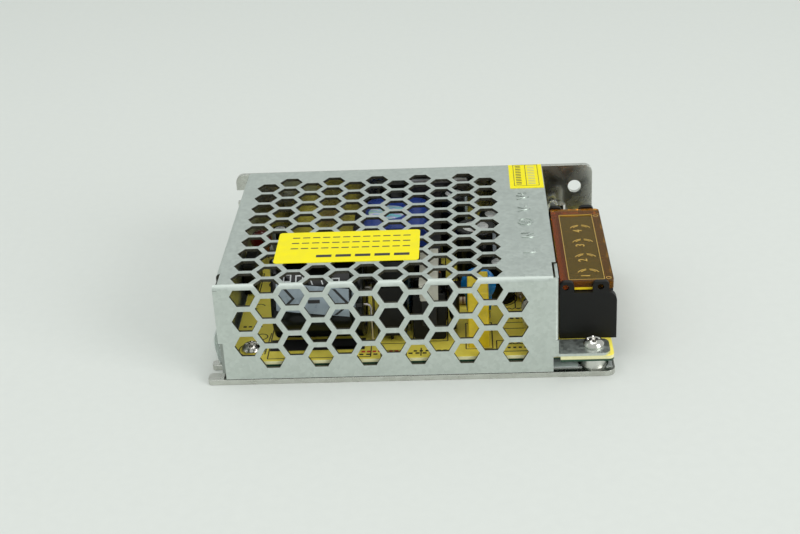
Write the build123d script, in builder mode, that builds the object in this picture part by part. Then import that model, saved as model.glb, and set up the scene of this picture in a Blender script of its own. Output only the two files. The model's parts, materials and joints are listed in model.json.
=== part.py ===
from build123d import *
import os

# Open-frame switching power supply: an aluminium L (floor and rear wall) carries a filled
# circuit board, a perforated steel cover closes it, and a five-way screw terminal block with
# a clear flip cover stands at one end.
# Millimetres, +Z up. The origin is the centre of the floor's underside, +X points to the
# terminals, -Y to the folded, perforated side wall and +Y to the plain rear wall.

# Case
case_length = 110
case_depth = 78
case_height = 30
case_left = -case_length / 2
case_front = -case_depth / 2
case_rear = case_depth / 2

# Aluminium base
base_sheet = 1.5
base_bend = 1.4
wall_top = 29.5
wall_face = case_rear - base_sheet
body_left = -51
corner_radius = 2.5
finger_radius = 1.2
slot_width = 4
slot_depth = 5
floor_slot_y = -33
floor_ear_rear = -27.9
wall_slot_z = 22.5
wall_ear_foot = 17.4
fixing_hole_x = 49.6
fixing_hole_radius = 2

# Circuit board on pressed standoffs
standoff_height = 3.2
standoff_foot_radius = 3.5
standoff_top_radius = 2.8
thread_radius = 1.5
dimple_radius = 2.4
dimple_depth = 2.1
board_thickness = 1.6
board_bottom = base_sheet + standoff_height
board_top = board_bottom + board_thickness
board_left = -48.7
board_right = 54.6
board_front = -37.6
board_rear = 36.9
board_corner_left = 40.3
board_corner_radius = 1.5
board_hole_radius = 1.65
board_screw_head_radius = 2.85
board_screw_head_height = 2.2
board_screw_radius = 1.45
board_screw_length = 5.5
front_left_screw = (-43.4, -31)
front_right_screw = (49.4, -34.3)
rear_left_screw = (-43.4, 31.5)
rear_right_screw = (51.2, 32)
screw_places = [front_left_screw, front_right_screw, rear_left_screw, rear_right_screw]

# Insulating film between the floor and the board, turned up past the left end
film = 0.3
film_hole_radius = 4.1
film_bend = 0.8
film_right = 54.3
film_front = -36.8
film_rear = 36.6
film_fold_x = -53
film_flap_top = 8.6
film_flap_lean = 1.2
film_flap_front = -29.5
film_flap_rear = -4
film_flap_radius = 3

# Steel cover
cover_sheet = 0.8
cover_bend = 0.9
tab_bend = 0.7
cover_foot = 1.7
cover_right = 39.5
front_wall_right = 38.4
left_step_x = -49.8
left_step_z = 12.8
left_margin_top = 28.6
flange_top = 29.6
end_wall_foot = 2.4
end_wall_front = -37.9
relief_width = 1
relief_over = 0.3
corner_relief_foot = 27.7
corner_relief_rear = -31.5
flange_outer = 39.8
flange_rear = -30
tab_right = 53.6
tab_rear = -31
tab_radius = 2
lug_width = 10
lug_foot = 24
lug_places = [-35, 29]

# Hexagon lattice punched in the flat blank, so it runs on over the fold
hex_pitch = 7.52
hex_flats = 6
hex_slope = 3**0.5 / 2
hex_radius = hex_flats / 2 / hex_slope
hex_column_step = hex_pitch * hex_slope
first_column_x = -43.2
top_row_y = 25.5
even_columns = 6
odd_columns = 5
even_rows = 9
odd_rows = 10
front_rows = 3
front_row_z = 26.84
fold_row_z = case_height + 0.6
punch_depth = 2.2
punch_play = 0.5

# Terminal block
pole_count = 5
pole_pitch = 9.5
block_left = 40.6
block_right = 56
block_top = 20.2
block_mid_y = -4.2
end_wall = 1.4
block_length = pole_count * pole_pitch + 2 * end_wall
block_front = block_mid_y - block_length / 2
block_rear = block_mid_y + block_length / 2
shoulder_radius = 2.5
barrier = 1.4
pocket_left = 43.4
pocket_floor = 12.3
ledge_top = 19.3
ear_top = 23.5
ear_radius = 1.3
hinge_x = 42.3
hinge_z = 21.9
catch_x = 51.6
ear_left_width = 3.8
ear_left_x = 42.6
ear_right_width = 4.4
ear_right_x = 51.7
ear_hole_radius = 0.85

# Terminal metalwork
tongue_left = 43.7
tongue_right = 55
tongue_width = 7
tongue_thickness = 0.8
terminal_screw_x = 47.5
clamp_size = 7
clamp_thickness = 0.9
terminal_shank_radius = 1.4
terminal_head_radius = 2.5
terminal_head_height = 2.3
pin_size = 1
pin_foot = 3.3
pin_x = [45, 50]
pin_mid_x = sum(pin_x) / 2
pin_row = pin_x[1] - pin_x[0]
pin_play = 0.2
pin_hole_radius = 0.8
screw_pit_depth = 4
screw_play = 0.1
terminal_screw_length = 4.4
clamp_rise = 1.6
clamp_lip = 0.5

# Flip cover
flip_left = 41
flip_right = 55.3
flip_top = 22.9
flip_foot = 20.5
flip_wall = 1
flip_gap = 0.2
peg_radius = 0.8
peg_length = 1.1
panel_left = 43.2
panel_right = 53
panel_recess = 0.25
panel_front_rim = 1
panel_rear_rim = 4
flip_corner_radius = 1.2

# Indicator lamp and output trimmer behind the block
lamp_place = (42.8, 35)
lamp_top = 19.1
lamp_radius = 1.5
lamp_spacer_top = 14.4
lamp_flange = 0.3
lamp_flange_height = 0.8
trimmer_place = (45.3, 31.2)
trimmer_body_size = 4.1
trimmer_body_height = 6
trimmer_bore_radius = 1.15
trimmer_shaft_radius = 1.1
trimmer_shaft_top = 19.4
trimmer_bore_floor = 7.3
trimmer_shaft_foot = 7.35
trimmer_cup_radius = 0.68
trimmer_cup_depth = 1.2
trimmer_slot_width = 0.4

# Main storage capacitor, lying along X
main_can_radius = 11
main_can_length = 25
main_can_left = -37
main_can_y = -22
main_can_right = main_can_left + main_can_length
main_can_z = board_top + main_can_radius + 0.02
main_can_seal = main_can_right - 0.8
main_lead_gap = 10
main_lead_bend = 1.2
main_lead_x = -10.4
lead_radius = 0.45

# Transformer
transformer_mid = (-4.8, 17)
tape_width = 19.4
tape_length = 22
transformer_top = 24.6
bobbin_plate = 2.4
rail_rise = 3
core_yoke = 2.8
core_limb = 3.3
core_height = 7
core_play = 0.4
bobbin_margin = 1.4
tape_round = 2.4

# Line filter choke
choke_mid = (5.5, -18.5)
choke_width = 8.8
choke_span = 18
choke_cheek = 13.8
cheek = 0.8
choke_limb = 4
choke_yoke = 2.2
choke_tube_lift = 7.4
choke_tube_size = 5.6
choke_play = 0.1
choke_tape_overlap = 0.5

# Line side parts
film_box_mid = (18.75, -26.4)
film_box_size = (5.7, 13.2, 16.6)
bridge_mid = (-5, -19.5)
bridge_size = (6.4, 19, 14.5)
bridge_lift = 2
bridge_corner = 2.5
# Dipped discs: radius, thickness, lead height and lead gap
thermistor_size = (4.8, 2.8, 3.5, 5)
varistor_size = (5.3, 2.4, 5, 5)
disc_size = (4.9, 4, 5.8, 6)
snubber_size = (3.3, 3, 4.5, 3.5)
# Axial parts: barrel radius, barrel length and reach over the leads
fuse_size = (2.6, 12, 20)
resistor_size = (1.2, 6.4, 10)
diode_size = (1.4, 5, 9)
thermistor_place = (12.2, -22.5)
varistor_place = (-0.4, -20)
disc_place = (19, -16.2)
fuse_place = (33.5, -20)

# Power devices held against the rear wall
device_width = 10
device_body_depth = 3.2
device_tab_depth = 1.3
device_foot = 9.5
device_body_height = 9
device_tab_height = 6.4
device_hole_radius = 1.8
lead_pitch = 2.54
pad_foot = 8.8
pad_height = 17.6
pad_thickness = 0.4
switch_x = -5.3
rectifier_x = 8
clip_left = -0.9
clip_width = 17.6
clip_foot = 19.6
clip_height = 7.8
clip_sheet = 0.5
clip_reach = 0.75
clip_nose = (0.4, 1.1)
clip_bend = 0.35

# Output side: can radius, height and place on the board
output_cans = [
    (5.9, 18, (18.7, 6.4)),
    (5, 16, (24.9, 19.3)),
    (4, 20, (12.5, 26.4)),
    (4, 12, (25.5, -5)),
]
bias_cans = [(2.5, 11, (-40.8, 24)), (2.5, 8, (-40, 8))]
drum_place = (33.2, 9.6)
drum_radius = 6
drum_neck = 3
drum_height = 9
drum_flange = 1.2
winding_inset = 0.6
winding_play = 0.05

# Control section: package length, width, height and legs, then place and turn about Z
chip_size = (9.4, 6.3, 3.3, 8)
opto_size = (4.6, 6.3, 3.3, 4)
chip_place = (-28, 9)
opto_place = (12.2, -2.4)
resistor_places = [((-28, 20), 0), ((-28, 26), 0), ((-20, -4), 90), ((31, -2.5), 90), ((14, -8), 0)]
diode_places = [((-28, -2), 0), ((27, 31), 0), ((34.6, -6), 90)]
snubber_place = (-46.6, 22.5)
bias_box_mid = (-47.7, 8.5)
bias_box_size = (3.8, 13, 9)

# Labels on the cover
label_left = -36.2
label_right = 3.2
label_front = -26.4
label_rear = -7.2
corner_left = 29.3
corner_right = 39.3
corner_front = 19.7
label_thickness = 0.12


def pan_head_screw(head_radius, head_height, shank_radius, shank_length):
    """A pan-head screw, head seated on Z 0: a revolved head and shank, cross driven."""
    shoulder = head_height * 0.55
    crown_radius = head_radius * 0.7
    with BuildPart() as screw:
        with BuildSketch(Plane.XZ):
            with BuildLine():
                Polyline(
                    (0, head_height),
                    (0, -shank_length),
                    (shank_radius, -shank_length),
                    (shank_radius, 0),
                    (head_radius, 0),
                    (head_radius, shoulder),
                    (crown_radius, head_height),
                    close=True,
                )
            make_face()
        revolve(axis=Axis.Z)
        with BuildSketch(Plane.XY.offset(head_height)):
            Rectangle(head_radius * 1.25, head_radius * 0.28)
            Rectangle(head_radius * 0.28, head_radius * 1.25)
        extrude(amount=-head_height * 0.5, mode=Mode.SUBTRACT)
    return screw.part


def electrolytic(radius, height):
    """An upright electrolytic can on Z 0: rolled neck near the foot, flat scored top."""
    neck = radius * 0.06
    with BuildPart() as can:
        with BuildSketch(Plane.XZ):
            with BuildLine():
                Polyline(
                    (0, 0),
                    (radius, 0),
                    (radius, height * 0.1),
                    (radius - neck, height * 0.14),
                    (radius, height * 0.18),
                    (radius, height - 0.5),
                    (radius - 0.5, height),
                    (0, height),
                    close=True,
                )
            make_face()
        revolve(axis=Axis.Z)
        with BuildSketch(Plane.XY.offset(height)):
            Rectangle(radius * 1.2, 0.3)
            Rectangle(0.3, radius * 1.2)
        extrude(amount=-0.25, mode=Mode.SUBTRACT)
    return can.part


def power_device(rise):
    """A three-leg power device with its tab facing +Y, legs from Z 0 up to the body at rise."""
    with BuildPart() as device:
        with BuildSketch(Plane.XY.offset(rise)):
            with Locations((0, -device_tab_depth - device_body_depth / 2)):
                Rectangle(device_width, device_body_depth)
        extrude(amount=device_body_height)
        chamfer(device.edges().group_by(Axis.Y)[0].filter_by(Axis.X), length=0.6)
        with BuildSketch(Plane.XZ):
            with Locations((0, rise + (device_body_height + device_tab_height) / 2)):
                Rectangle(device_width, device_body_height + device_tab_height)
            with Locations((0, rise + device_body_height + device_tab_height / 2)):
                Circle(device_hole_radius, mode=Mode.SUBTRACT)
        extrude(amount=device_tab_depth)
        with BuildSketch(Plane.XY):
            with Locations((0, -device_tab_depth - device_body_depth / 2)):
                with GridLocations(lead_pitch, 1, 3, 1):
                    Rectangle(0.9, 0.5)
        extrude(amount=rise)
    return device.part


def dipped_disc(radius, thickness, lead_height, lead_gap):
    """A dipped disc part standing on two leads, its flat face to the front."""
    middle = lead_height + radius
    with BuildPart() as disc:
        with BuildSketch(Plane.XZ.offset(-thickness / 2)):
            with Locations((0, middle)):
                Circle(radius)
        extrude(amount=thickness)
        chamfer(disc.edges().filter_by(GeomType.CIRCLE), length=thickness * 0.35)
        with BuildSketch(Plane.XY):
            with GridLocations(lead_gap, 1, 2, 1):
                Rectangle(0.6, 0.6)
        extrude(amount=middle)
    return disc.part


def axial_part(radius, length, reach):
    """An axial part lying along X: a barrel between two leads that turn down to the board."""
    height = radius + 0.2
    with BuildPart() as axial:
        with BuildSketch(Plane.YZ.offset(-length / 2)):
            with Locations((0, height)):
                Circle(radius)
        extrude(amount=length)
        with BuildSketch(Plane.XZ.offset(-0.3)):
            with BuildLine():
                FilletPolyline(
                    (-reach / 2, 0), (-reach / 2, height), (reach / 2, height), (reach / 2, 0),
                    radius=0.6,
                )
            trace(line_width=0.6)
        extrude(amount=0.6)
    return axial.part


def boxed_capacitor(width, length, height):
    """A boxed film capacitor on Z 0: upright edges rounded, top edge chamfered."""
    with BuildPart() as box:
        with BuildSketch(Plane.XY):
            RectangleRounded(width, length, 0.5)
        extrude(amount=height)
        chamfer(box.faces().sort_by(Axis.Z)[-1].edges(), length=0.3)
    return box.part


def leaded_package(length, width, height, pins):
    """A moulded package on Z 0 with a row of legs down each long side and a pin-one notch."""
    with BuildPart() as package:
        with BuildSketch(Plane.XY.offset(0.5)):
            Rectangle(length, width)
        extrude(amount=height)
        chamfer(package.edges().group_by(Axis.Z)[-1], length=0.3)
        with BuildSketch(Plane.XY.offset(height + 0.5)):
            with Locations((-length / 2, 0)):
                Circle(0.8)
        extrude(amount=-0.6, mode=Mode.SUBTRACT)
        with BuildSketch(Plane.XY):
            with GridLocations(lead_pitch, width + 0.6, pins // 2, 2):
                Rectangle(0.8, 0.9)
        extrude(amount=height * 0.5 + 0.5)
    return package.part


# Base: floor and rear wall are one L of sheet, drawn as a centre line and run along X
with BuildPart() as chassis_base:
    with BuildSketch(Plane.YZ.offset(case_left)):
        with BuildLine():
            FilletPolyline(
                (case_front, base_sheet / 2),
                (case_rear - base_sheet / 2, base_sheet / 2),
                (case_rear - base_sheet / 2, wall_top),
                radius=base_bend,
            )
        trace(line_width=base_sheet)
    extrude(amount=case_length)
    # The left end is set back, apart from a slotted ear in the floor and one in the wall
    set_back = body_left - case_left
    floor_set_back = case_rear + 1 - floor_ear_rear
    with BuildSketch(Plane.XY.offset(-1)):
        with Locations((case_left, (case_rear + 1 + floor_ear_rear) / 2)):
            Rectangle(2 * set_back, floor_set_back)
    extrude(amount=wall_ear_foot + 1, mode=Mode.SUBTRACT)
    with BuildSketch(Plane.XY.offset(-1)):
        with Locations((case_left, floor_slot_y)):
            SlotOverall(2 * slot_depth, slot_width)
    extrude(amount=base_sheet + 2, mode=Mode.SUBTRACT)
    with BuildSketch(Plane.XZ.offset(-case_rear - 1)):
        with Locations((case_left, wall_slot_z)):
            SlotOverall(2 * slot_depth, slot_width)
        with Locations((fixing_hole_x, wall_slot_z)):
            Circle(fixing_hole_radius)
    extrude(amount=base_sheet + 2, mode=Mode.SUBTRACT)
    # Rounded corners: the front right of the floor, the tops of the wall and the slot fingers
    floor_corners = chassis_base.edges().filter_by(Axis.Z).group_by(Axis.Y)[0]
    fillet(floor_corners.sort_by(Axis.X)[-1], radius=corner_radius)
    wall_corners = chassis_base.edges().filter_by(Axis.Y).group_by(Axis.Z)[-1]
    fillet(wall_corners, radius=corner_radius)
    finger_corners = chassis_base.edges().filter_by(Axis.Z).group_by(Axis.X)[0]
    fillet(finger_corners.filter_by_position(Axis.Z, 0, base_sheet), radius=finger_radius)
    # Standoffs pressed up out of the floor, tapped, and dimpled underneath
    with Locations([(x, y, base_sheet) for x, y in screw_places]):
        Cone(
            standoff_foot_radius,
            standoff_top_radius,
            standoff_height,
            align=(Align.CENTER, Align.CENTER, Align.MIN),
        )
    with Locations([(x, y, 0) for x, y in screw_places]):
        Cylinder(
            thread_radius,
            board_bottom,
            align=(Align.CENTER, Align.CENTER, Align.MIN),
            mode=Mode.SUBTRACT,
        )
        Cone(
            dimple_radius,
            thread_radius,
            dimple_depth,
            align=(Align.CENTER, Align.CENTER, Align.MIN),
            mode=Mode.SUBTRACT,
        )

# Insulating film: one thin sheet, cleared round the standoffs, with an upturned left flap
with BuildPart() as insulation_sheet:
    with BuildSketch(Plane.XY.offset(base_sheet)):
        with BuildLine():
            Polyline(
                (film_right, film_front),
                (film_right, film_rear),
                (board_left, film_rear),
                (board_left, film_front),
                close=True,
            )
        make_face()
        with Locations(screw_places):
            Circle(film_hole_radius, mode=Mode.SUBTRACT)
    extrude(amount=film)
    with BuildSketch(Plane.XZ.offset(-film_flap_rear)):
        with BuildLine():
            FilletPolyline(
                (board_left + 1, base_sheet + film / 2),
                (film_fold_x, base_sheet + film / 2),
                (film_fold_x - film_flap_lean, film_flap_top),
                radius=film_bend,
            )
        trace(line_width=film)
    extrude(amount=film_flap_rear - film_flap_front)
    flap_edges = insulation_sheet.edges().filter_by_position(
        Axis.Z, film_flap_top - 0.2, film_flap_top + 0.2
    )
    fillet(
        flap_edges.filter_by(lambda e: e.length < 2 * film).group_by(Axis.Y)[0].sort_by(Axis.Z)[-1:],
        radius=film_flap_radius,
    )

# Circuit board: it widens at the front right corner, beyond the cover's wall
with BuildPart() as circuit_board:
    with BuildSketch(Plane.XY.offset(board_bottom)):
        with BuildLine():
            Polyline(
                (board_left, board_rear),
                (board_left, board_front),
                (board_corner_left, board_front),
                (board_corner_left, case_front),
                (board_right, case_front),
                (board_right, board_rear),
                close=True,
            )
        board_outline = make_face()
        fillet(board_outline.vertices().group_by(Axis.X)[-1], radius=board_corner_radius)
        with Locations(screw_places):
            Circle(board_hole_radius, mode=Mode.SUBTRACT)
        with Locations((pin_mid_x, block_mid_y)):
            with GridLocations(pin_row, pole_pitch, 2, pole_count):
                Circle(pin_hole_radius, mode=Mode.SUBTRACT)
    extrude(amount=board_thickness)

# Board screws: three hold the board alone, the front right one also holds the cover's tab
board_screw = pan_head_screw(
    board_screw_head_radius, board_screw_head_height, board_screw_radius, board_screw_length
)
with BuildPart() as board_screws:
    with Locations([(x, y, board_top) for x, y in screw_places if x < 0 or y > 0]):
        add(board_screw)
with BuildPart() as cover_screw:
    with Locations((*front_right_screw, board_top + cover_sheet)):
        add(board_screw)

# Lattice places: columns run along X, rows down the top and on down the side wall
lattice_mid_x = first_column_x + hex_column_step * (even_columns - 1)
top_mid_y = top_row_y - hex_pitch * (even_rows - 1) / 2
front_mid_z = front_row_z - hex_pitch * (front_rows - 1) / 2

# Punch for a hole on the bend. The hexagon wraps round the sheet, so across the bend it is seen
# square on along the diagonal: as wide as the top's hole where the bend starts, widest at the
# hexagon's own middle, and as wide as the side wall's hole where the bend ends
outer_bend = cover_bend + cover_sheet / 2
bend_start_y = case_front + outer_bend
bend_end_z = case_height - outer_bend
fold_row_y = top_row_y - hex_pitch * (even_rows - 0.5)
start_half = hex_radius - (bend_start_y - fold_row_y) / 3**0.5
end_half = hex_radius - (fold_row_z - bend_end_z) / 3**0.5
diagonal = outer_bend * 2**0.5
middle_share = (bend_start_y - fold_row_y) / (bend_start_y - fold_row_y + fold_row_z - bend_end_z)
bend_corner = Plane(
    origin=(0, case_front + outer_bend / 2, case_height - outer_bend / 2),
    x_dir=(1, 0, 0),
    z_dir=(0, -1, 1),
)
with BuildPart() as fold_hole:
    with BuildSketch(bend_corner):
        with BuildLine():
            Polyline(
                (-start_half, diagonal / 2),
                (-hex_radius, diagonal * (0.5 - middle_share)),
                (-end_half, -diagonal / 2),
                (end_half, -diagonal / 2),
                (hex_radius, diagonal * (0.5 - middle_share)),
                (start_half, diagonal / 2),
                close=True,
            )
        make_face()
    extrude(amount=punch_depth, both=True)
    with BuildSketch(Plane.YZ):
        with BuildLine():
            Polyline(
                (bend_start_y, bend_end_z),
                (bend_start_y, case_height + punch_play),
                (case_front - punch_play, case_height + punch_play),
                (case_front - punch_play, bend_end_z),
                close=True,
            )
        make_face()
    extrude(amount=hex_pitch, both=True, mode=Mode.INTERSECT)
fold_punch = fold_hole.part

# Cover: top and side wall are one L of sheet, then an end wall, a flange and a foot tab
cover_mid = cover_sheet / 2
with BuildPart() as perforated_cover:
    with BuildSketch(Plane.YZ.offset(left_step_x)):
        with BuildLine():
            FilletPolyline(
                (wall_face, case_height - cover_mid),
                (case_front + cover_mid, case_height - cover_mid),
                (case_front + cover_mid, cover_foot),
                radius=cover_bend,
            )
        trace(line_width=cover_sheet)
    extrude(amount=front_wall_right - left_step_x)
    # Top panel beyond the relief slit at its right end
    with BuildSketch(Plane.XY.offset(case_height)):
        with BuildLine():
            Polyline(
                (front_wall_right - 1, wall_face),
                (front_wall_right - 1, flange_rear),
                (cover_right, flange_rear),
                (cover_right, wall_face),
                close=True,
            )
        make_face()
    extrude(amount=-cover_sheet)
    # Side wall's left margin, stepped in near its foot
    with BuildSketch(Plane.XZ.offset(-case_front)):
        with BuildLine():
            Polyline(
                (left_step_x + 1, left_step_z),
                (body_left, left_step_z),
                (body_left, left_margin_top),
                (left_step_x + 1, left_margin_top),
                close=True,
            )
        make_face()
    extrude(amount=-cover_sheet)
    # End wall folded down from the top, relieved at its lower front corner
    with BuildSketch(Plane.XZ.offset(-wall_face)):
        with BuildLine():
            FilletPolyline(
                (left_step_x + 1, case_height - cover_mid),
                (body_left + cover_mid, case_height - cover_mid),
                (body_left + cover_mid, end_wall_foot),
                radius=cover_bend,
            )
        trace(line_width=cover_sheet)
    extrude(amount=wall_face - end_wall_front)
    with BuildSketch(Plane.YZ.offset(body_left - 1)):
        with BuildLine():
            Polyline(
                (end_wall_front - relief_over, end_wall_foot - 1),
                (end_wall_front + relief_width, end_wall_foot - 1),
                (end_wall_front + relief_width, left_step_z + 1),
                (end_wall_front - relief_over, left_step_z + 1),
                close=True,
            )
        make_face()
    extrude(amount=2, mode=Mode.SUBTRACT)
    # Relief where the end wall's bend meets the side wall's bend
    with BuildSketch(Plane.XY.offset(corner_relief_foot)):
        with BuildLine():
            Polyline(
                (body_left - 1, end_wall_front - relief_over),
                (left_step_x, end_wall_front - relief_over),
                (left_step_x, corner_relief_rear),
                (body_left - 1, corner_relief_rear),
                close=True,
            )
        make_face()
    extrude(amount=case_height - corner_relief_foot + 1, mode=Mode.SUBTRACT)
    # Flange turned in from the side wall's right edge
    with BuildSketch(Plane.XY.offset(board_top)):
        with BuildLine():
            FilletPolyline(
                (front_wall_right - 1, case_front + cover_mid),
                (flange_outer - cover_mid, case_front + cover_mid),
                (flange_outer - cover_mid, flange_rear),
                radius=tab_bend,
            )
        trace(line_width=cover_sheet)
    extrude(amount=flange_top - board_top)
    with BuildSketch(Plane.XZ.offset(-case_front + 1)):
        with Locations((front_wall_right + 0.8, board_top - 1)):
            Rectangle(1.6, 2)
    extrude(amount=-2, mode=Mode.SUBTRACT)
    # Foot tab turned out from the flange onto the board
    with BuildSketch(Plane.XZ.offset(-tab_rear)):
        with BuildLine():
            FilletPolyline(
                (flange_outer - cover_mid, board_top + 5),
                (flange_outer - cover_mid, board_top + cover_mid),
                (tab_right, board_top + cover_mid),
                radius=tab_bend,
            )
        trace(line_width=cover_sheet)
    extrude(amount=tab_rear - case_front)
    fillet(
        perforated_cover.edges().filter_by(Axis.Z).group_by(Axis.X)[-1],
        radius=tab_radius,
    )
    with BuildSketch(Plane.XY.offset(board_top)):
        with Locations(front_right_screw):
            Circle(board_hole_radius)
    extrude(amount=cover_sheet, mode=Mode.SUBTRACT)
    # Rear lugs that lie against the rear wall
    with BuildSketch(Plane.XZ.offset(-wall_face)):
        with Locations([(x, (lug_foot + case_height - cover_mid) / 2) for x in lug_places]):
            Rectangle(lug_width, case_height - cover_mid - lug_foot)
    extrude(amount=cover_sheet)
    # Lattice in the top up to the bend: even columns, then odd columns half a pitch nearer it
    with BuildSketch(Plane.XY.offset(case_height + 1)):
        with Locations((lattice_mid_x, top_mid_y)):
            with GridLocations(2 * hex_column_step, hex_pitch, even_columns, even_rows):
                RegularPolygon(hex_radius, 6)
        with Locations((lattice_mid_x, top_mid_y)):
            with GridLocations(2 * hex_column_step, hex_pitch, odd_columns, odd_rows):
                RegularPolygon(hex_radius, 6)
        with Locations((lattice_mid_x, bend_start_y - hex_pitch)):
            Rectangle(case_length, 2 * hex_pitch, mode=Mode.SUBTRACT)
    extrude(amount=-punch_depth, mode=Mode.SUBTRACT)
    # Lattice in the side wall, below the bend
    with BuildSketch(Plane.XZ.offset(-case_front + 1)):
        with Locations((lattice_mid_x, front_mid_z)):
            with GridLocations(2 * hex_column_step, hex_pitch, even_columns, front_rows):
                RegularPolygon(hex_radius, 6)
        with Locations((lattice_mid_x + hex_column_step, front_mid_z - hex_pitch / 2)):
            with GridLocations(2 * hex_column_step, hex_pitch, even_columns, front_rows):
                RegularPolygon(hex_radius, 6)
        with Locations((lattice_mid_x, fold_row_z)):
            with GridLocations(2 * hex_column_step, hex_pitch, odd_columns, 1):
                RegularPolygon(hex_radius, 6)
        with Locations((lattice_mid_x, bend_end_z + hex_pitch)):
            Rectangle(case_length, 2 * hex_pitch, mode=Mode.SUBTRACT)
    extrude(amount=-punch_depth, mode=Mode.SUBTRACT)
    # The row of holes that the bend runs through
    with Locations((lattice_mid_x, 0, 0)):
        with GridLocations(2 * hex_column_step, hex_pitch, odd_columns, 1):
            add(fold_punch, mode=Mode.SUBTRACT)

# Terminal block: a moulding with an open pocket for each pole and eared end walls
with BuildPart() as terminal_block:
    with BuildSketch(Plane.XZ.offset(-block_rear)):
        with BuildLine():
            Polyline(
                (block_left, board_top),
                (block_right, board_top),
                (block_right, block_top),
                (block_left, block_top),
                close=True,
            )
        block_side = make_face()
        fillet(
            block_side.vertices().group_by(Axis.X)[-1].sort_by(Axis.Y)[-1],
            radius=shoulder_radius,
        )
    extrude(amount=block_length)
    # Two ears on each end wall: the left pair carries the flip cover's pegs
    for ear_face in (block_rear, block_front + end_wall):
        with BuildSketch(Plane.XZ.offset(-ear_face)) as ear_sketch:
            for ear_x, ear_width in ((ear_left_x, ear_left_width), (ear_right_x, ear_right_width)):
                with Locations((ear_x, (pocket_floor + ear_top) / 2)):
                    Rectangle(ear_width, ear_top - pocket_floor)
            fillet(ear_sketch.vertices().group_by(Axis.Y)[-1], radius=ear_radius)
            with Locations((hinge_x, hinge_z), (catch_x, hinge_z)):
                Circle(ear_hole_radius, mode=Mode.SUBTRACT)
        extrude(amount=end_wall)
    # Ledge that leaves room for the flip cover's rim as it turns
    with BuildSketch(Plane.XZ.offset(-block_rear + end_wall)):
        with BuildLine():
            Polyline(
                (block_left - 1, ledge_top),
                (pocket_left + 1, ledge_top),
                (pocket_left + 1, block_top + 1),
                (block_left - 1, block_top + 1),
                close=True,
            )
        make_face()
    extrude(amount=block_length - 2 * end_wall, mode=Mode.SUBTRACT)
    # Wire pockets, open at the top and the right
    with BuildSketch(Plane.XY.offset(pocket_floor)):
        with Locations(((pocket_left + block_right + 1) / 2, block_mid_y)):
            with GridLocations(1, pole_pitch, 1, pole_count):
                Rectangle(block_right + 1 - pocket_left, pole_pitch - barrier)
    extrude(amount=block_top - pocket_floor + 1, mode=Mode.SUBTRACT)
    # Clearance for the screws' ends and the solder pins
    with BuildSketch(Plane.XY.offset(board_top)):
        with Locations((pin_mid_x, block_mid_y)):
            with GridLocations(pin_row, pole_pitch, 2, pole_count):
                Rectangle(pin_size + pin_play, pin_size + pin_play)
    extrude(amount=pocket_floor - board_top, mode=Mode.SUBTRACT)
    with BuildSketch(Plane.XY.offset(pocket_floor)):
        with Locations((terminal_screw_x, block_mid_y)):
            with GridLocations(1, pole_pitch, 1, pole_count):
                Circle(terminal_shank_radius + 3 * screw_play)
    extrude(amount=-screw_pit_depth, mode=Mode.SUBTRACT)

# Terminal tongues: one plate for each pole with two solder pins through the board
with BuildPart() as terminal_tongues:
    with BuildSketch(Plane.XY.offset(pocket_floor)):
        with Locations(((tongue_left + tongue_right) / 2, block_mid_y)):
            with GridLocations(1, pole_pitch, 1, pole_count):
                Rectangle(tongue_right - tongue_left, tongue_width)
        with Locations((terminal_screw_x, block_mid_y)):
            with GridLocations(1, pole_pitch, 1, pole_count):
                Circle(terminal_shank_radius + screw_play, mode=Mode.SUBTRACT)
    extrude(amount=tongue_thickness)
    with BuildSketch(Plane.XY.offset(pin_foot)):
        with Locations((pin_mid_x, block_mid_y)):
            with GridLocations(pin_row, pole_pitch, 2, pole_count):
                Rectangle(pin_size, pin_size)
    extrude(amount=pocket_floor - pin_foot)

# Clamp plates: a square saddle with turned-up edges under each screw head
clamp_bottom = pocket_floor + tongue_thickness
with BuildPart() as clamp_plates:
    with BuildSketch(Plane.XZ.offset(-clamp_size / 2)):
        with BuildLine():
            FilletPolyline(
                (-clamp_size / 2, clamp_rise),
                (-clamp_size / 2 + clamp_lip, clamp_thickness / 2),
                (clamp_size / 2 - clamp_lip, clamp_thickness / 2),
                (clamp_size / 2, clamp_rise),
                radius=clamp_lip,
            )
        trace(line_width=clamp_thickness)
    extrude(amount=clamp_size)
    with BuildSketch(Plane.XY):
        Circle(terminal_shank_radius + screw_play)
    extrude(amount=clamp_rise + clamp_thickness, mode=Mode.SUBTRACT)
clamp_plate = clamp_plates.part
with BuildPart() as terminal_clamps:
    with Locations((terminal_screw_x, block_mid_y, clamp_bottom)):
        with GridLocations(1, pole_pitch, 1, pole_count):
            add(clamp_plate)

# Terminal screws
terminal_screw = pan_head_screw(
    terminal_head_radius, terminal_head_height, terminal_shank_radius, terminal_screw_length
)
with BuildPart() as terminal_screws:
    with Locations((terminal_screw_x, block_mid_y, clamp_bottom + clamp_thickness)):
        with GridLocations(1, pole_pitch, 1, pole_count):
            add(terminal_screw)

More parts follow.
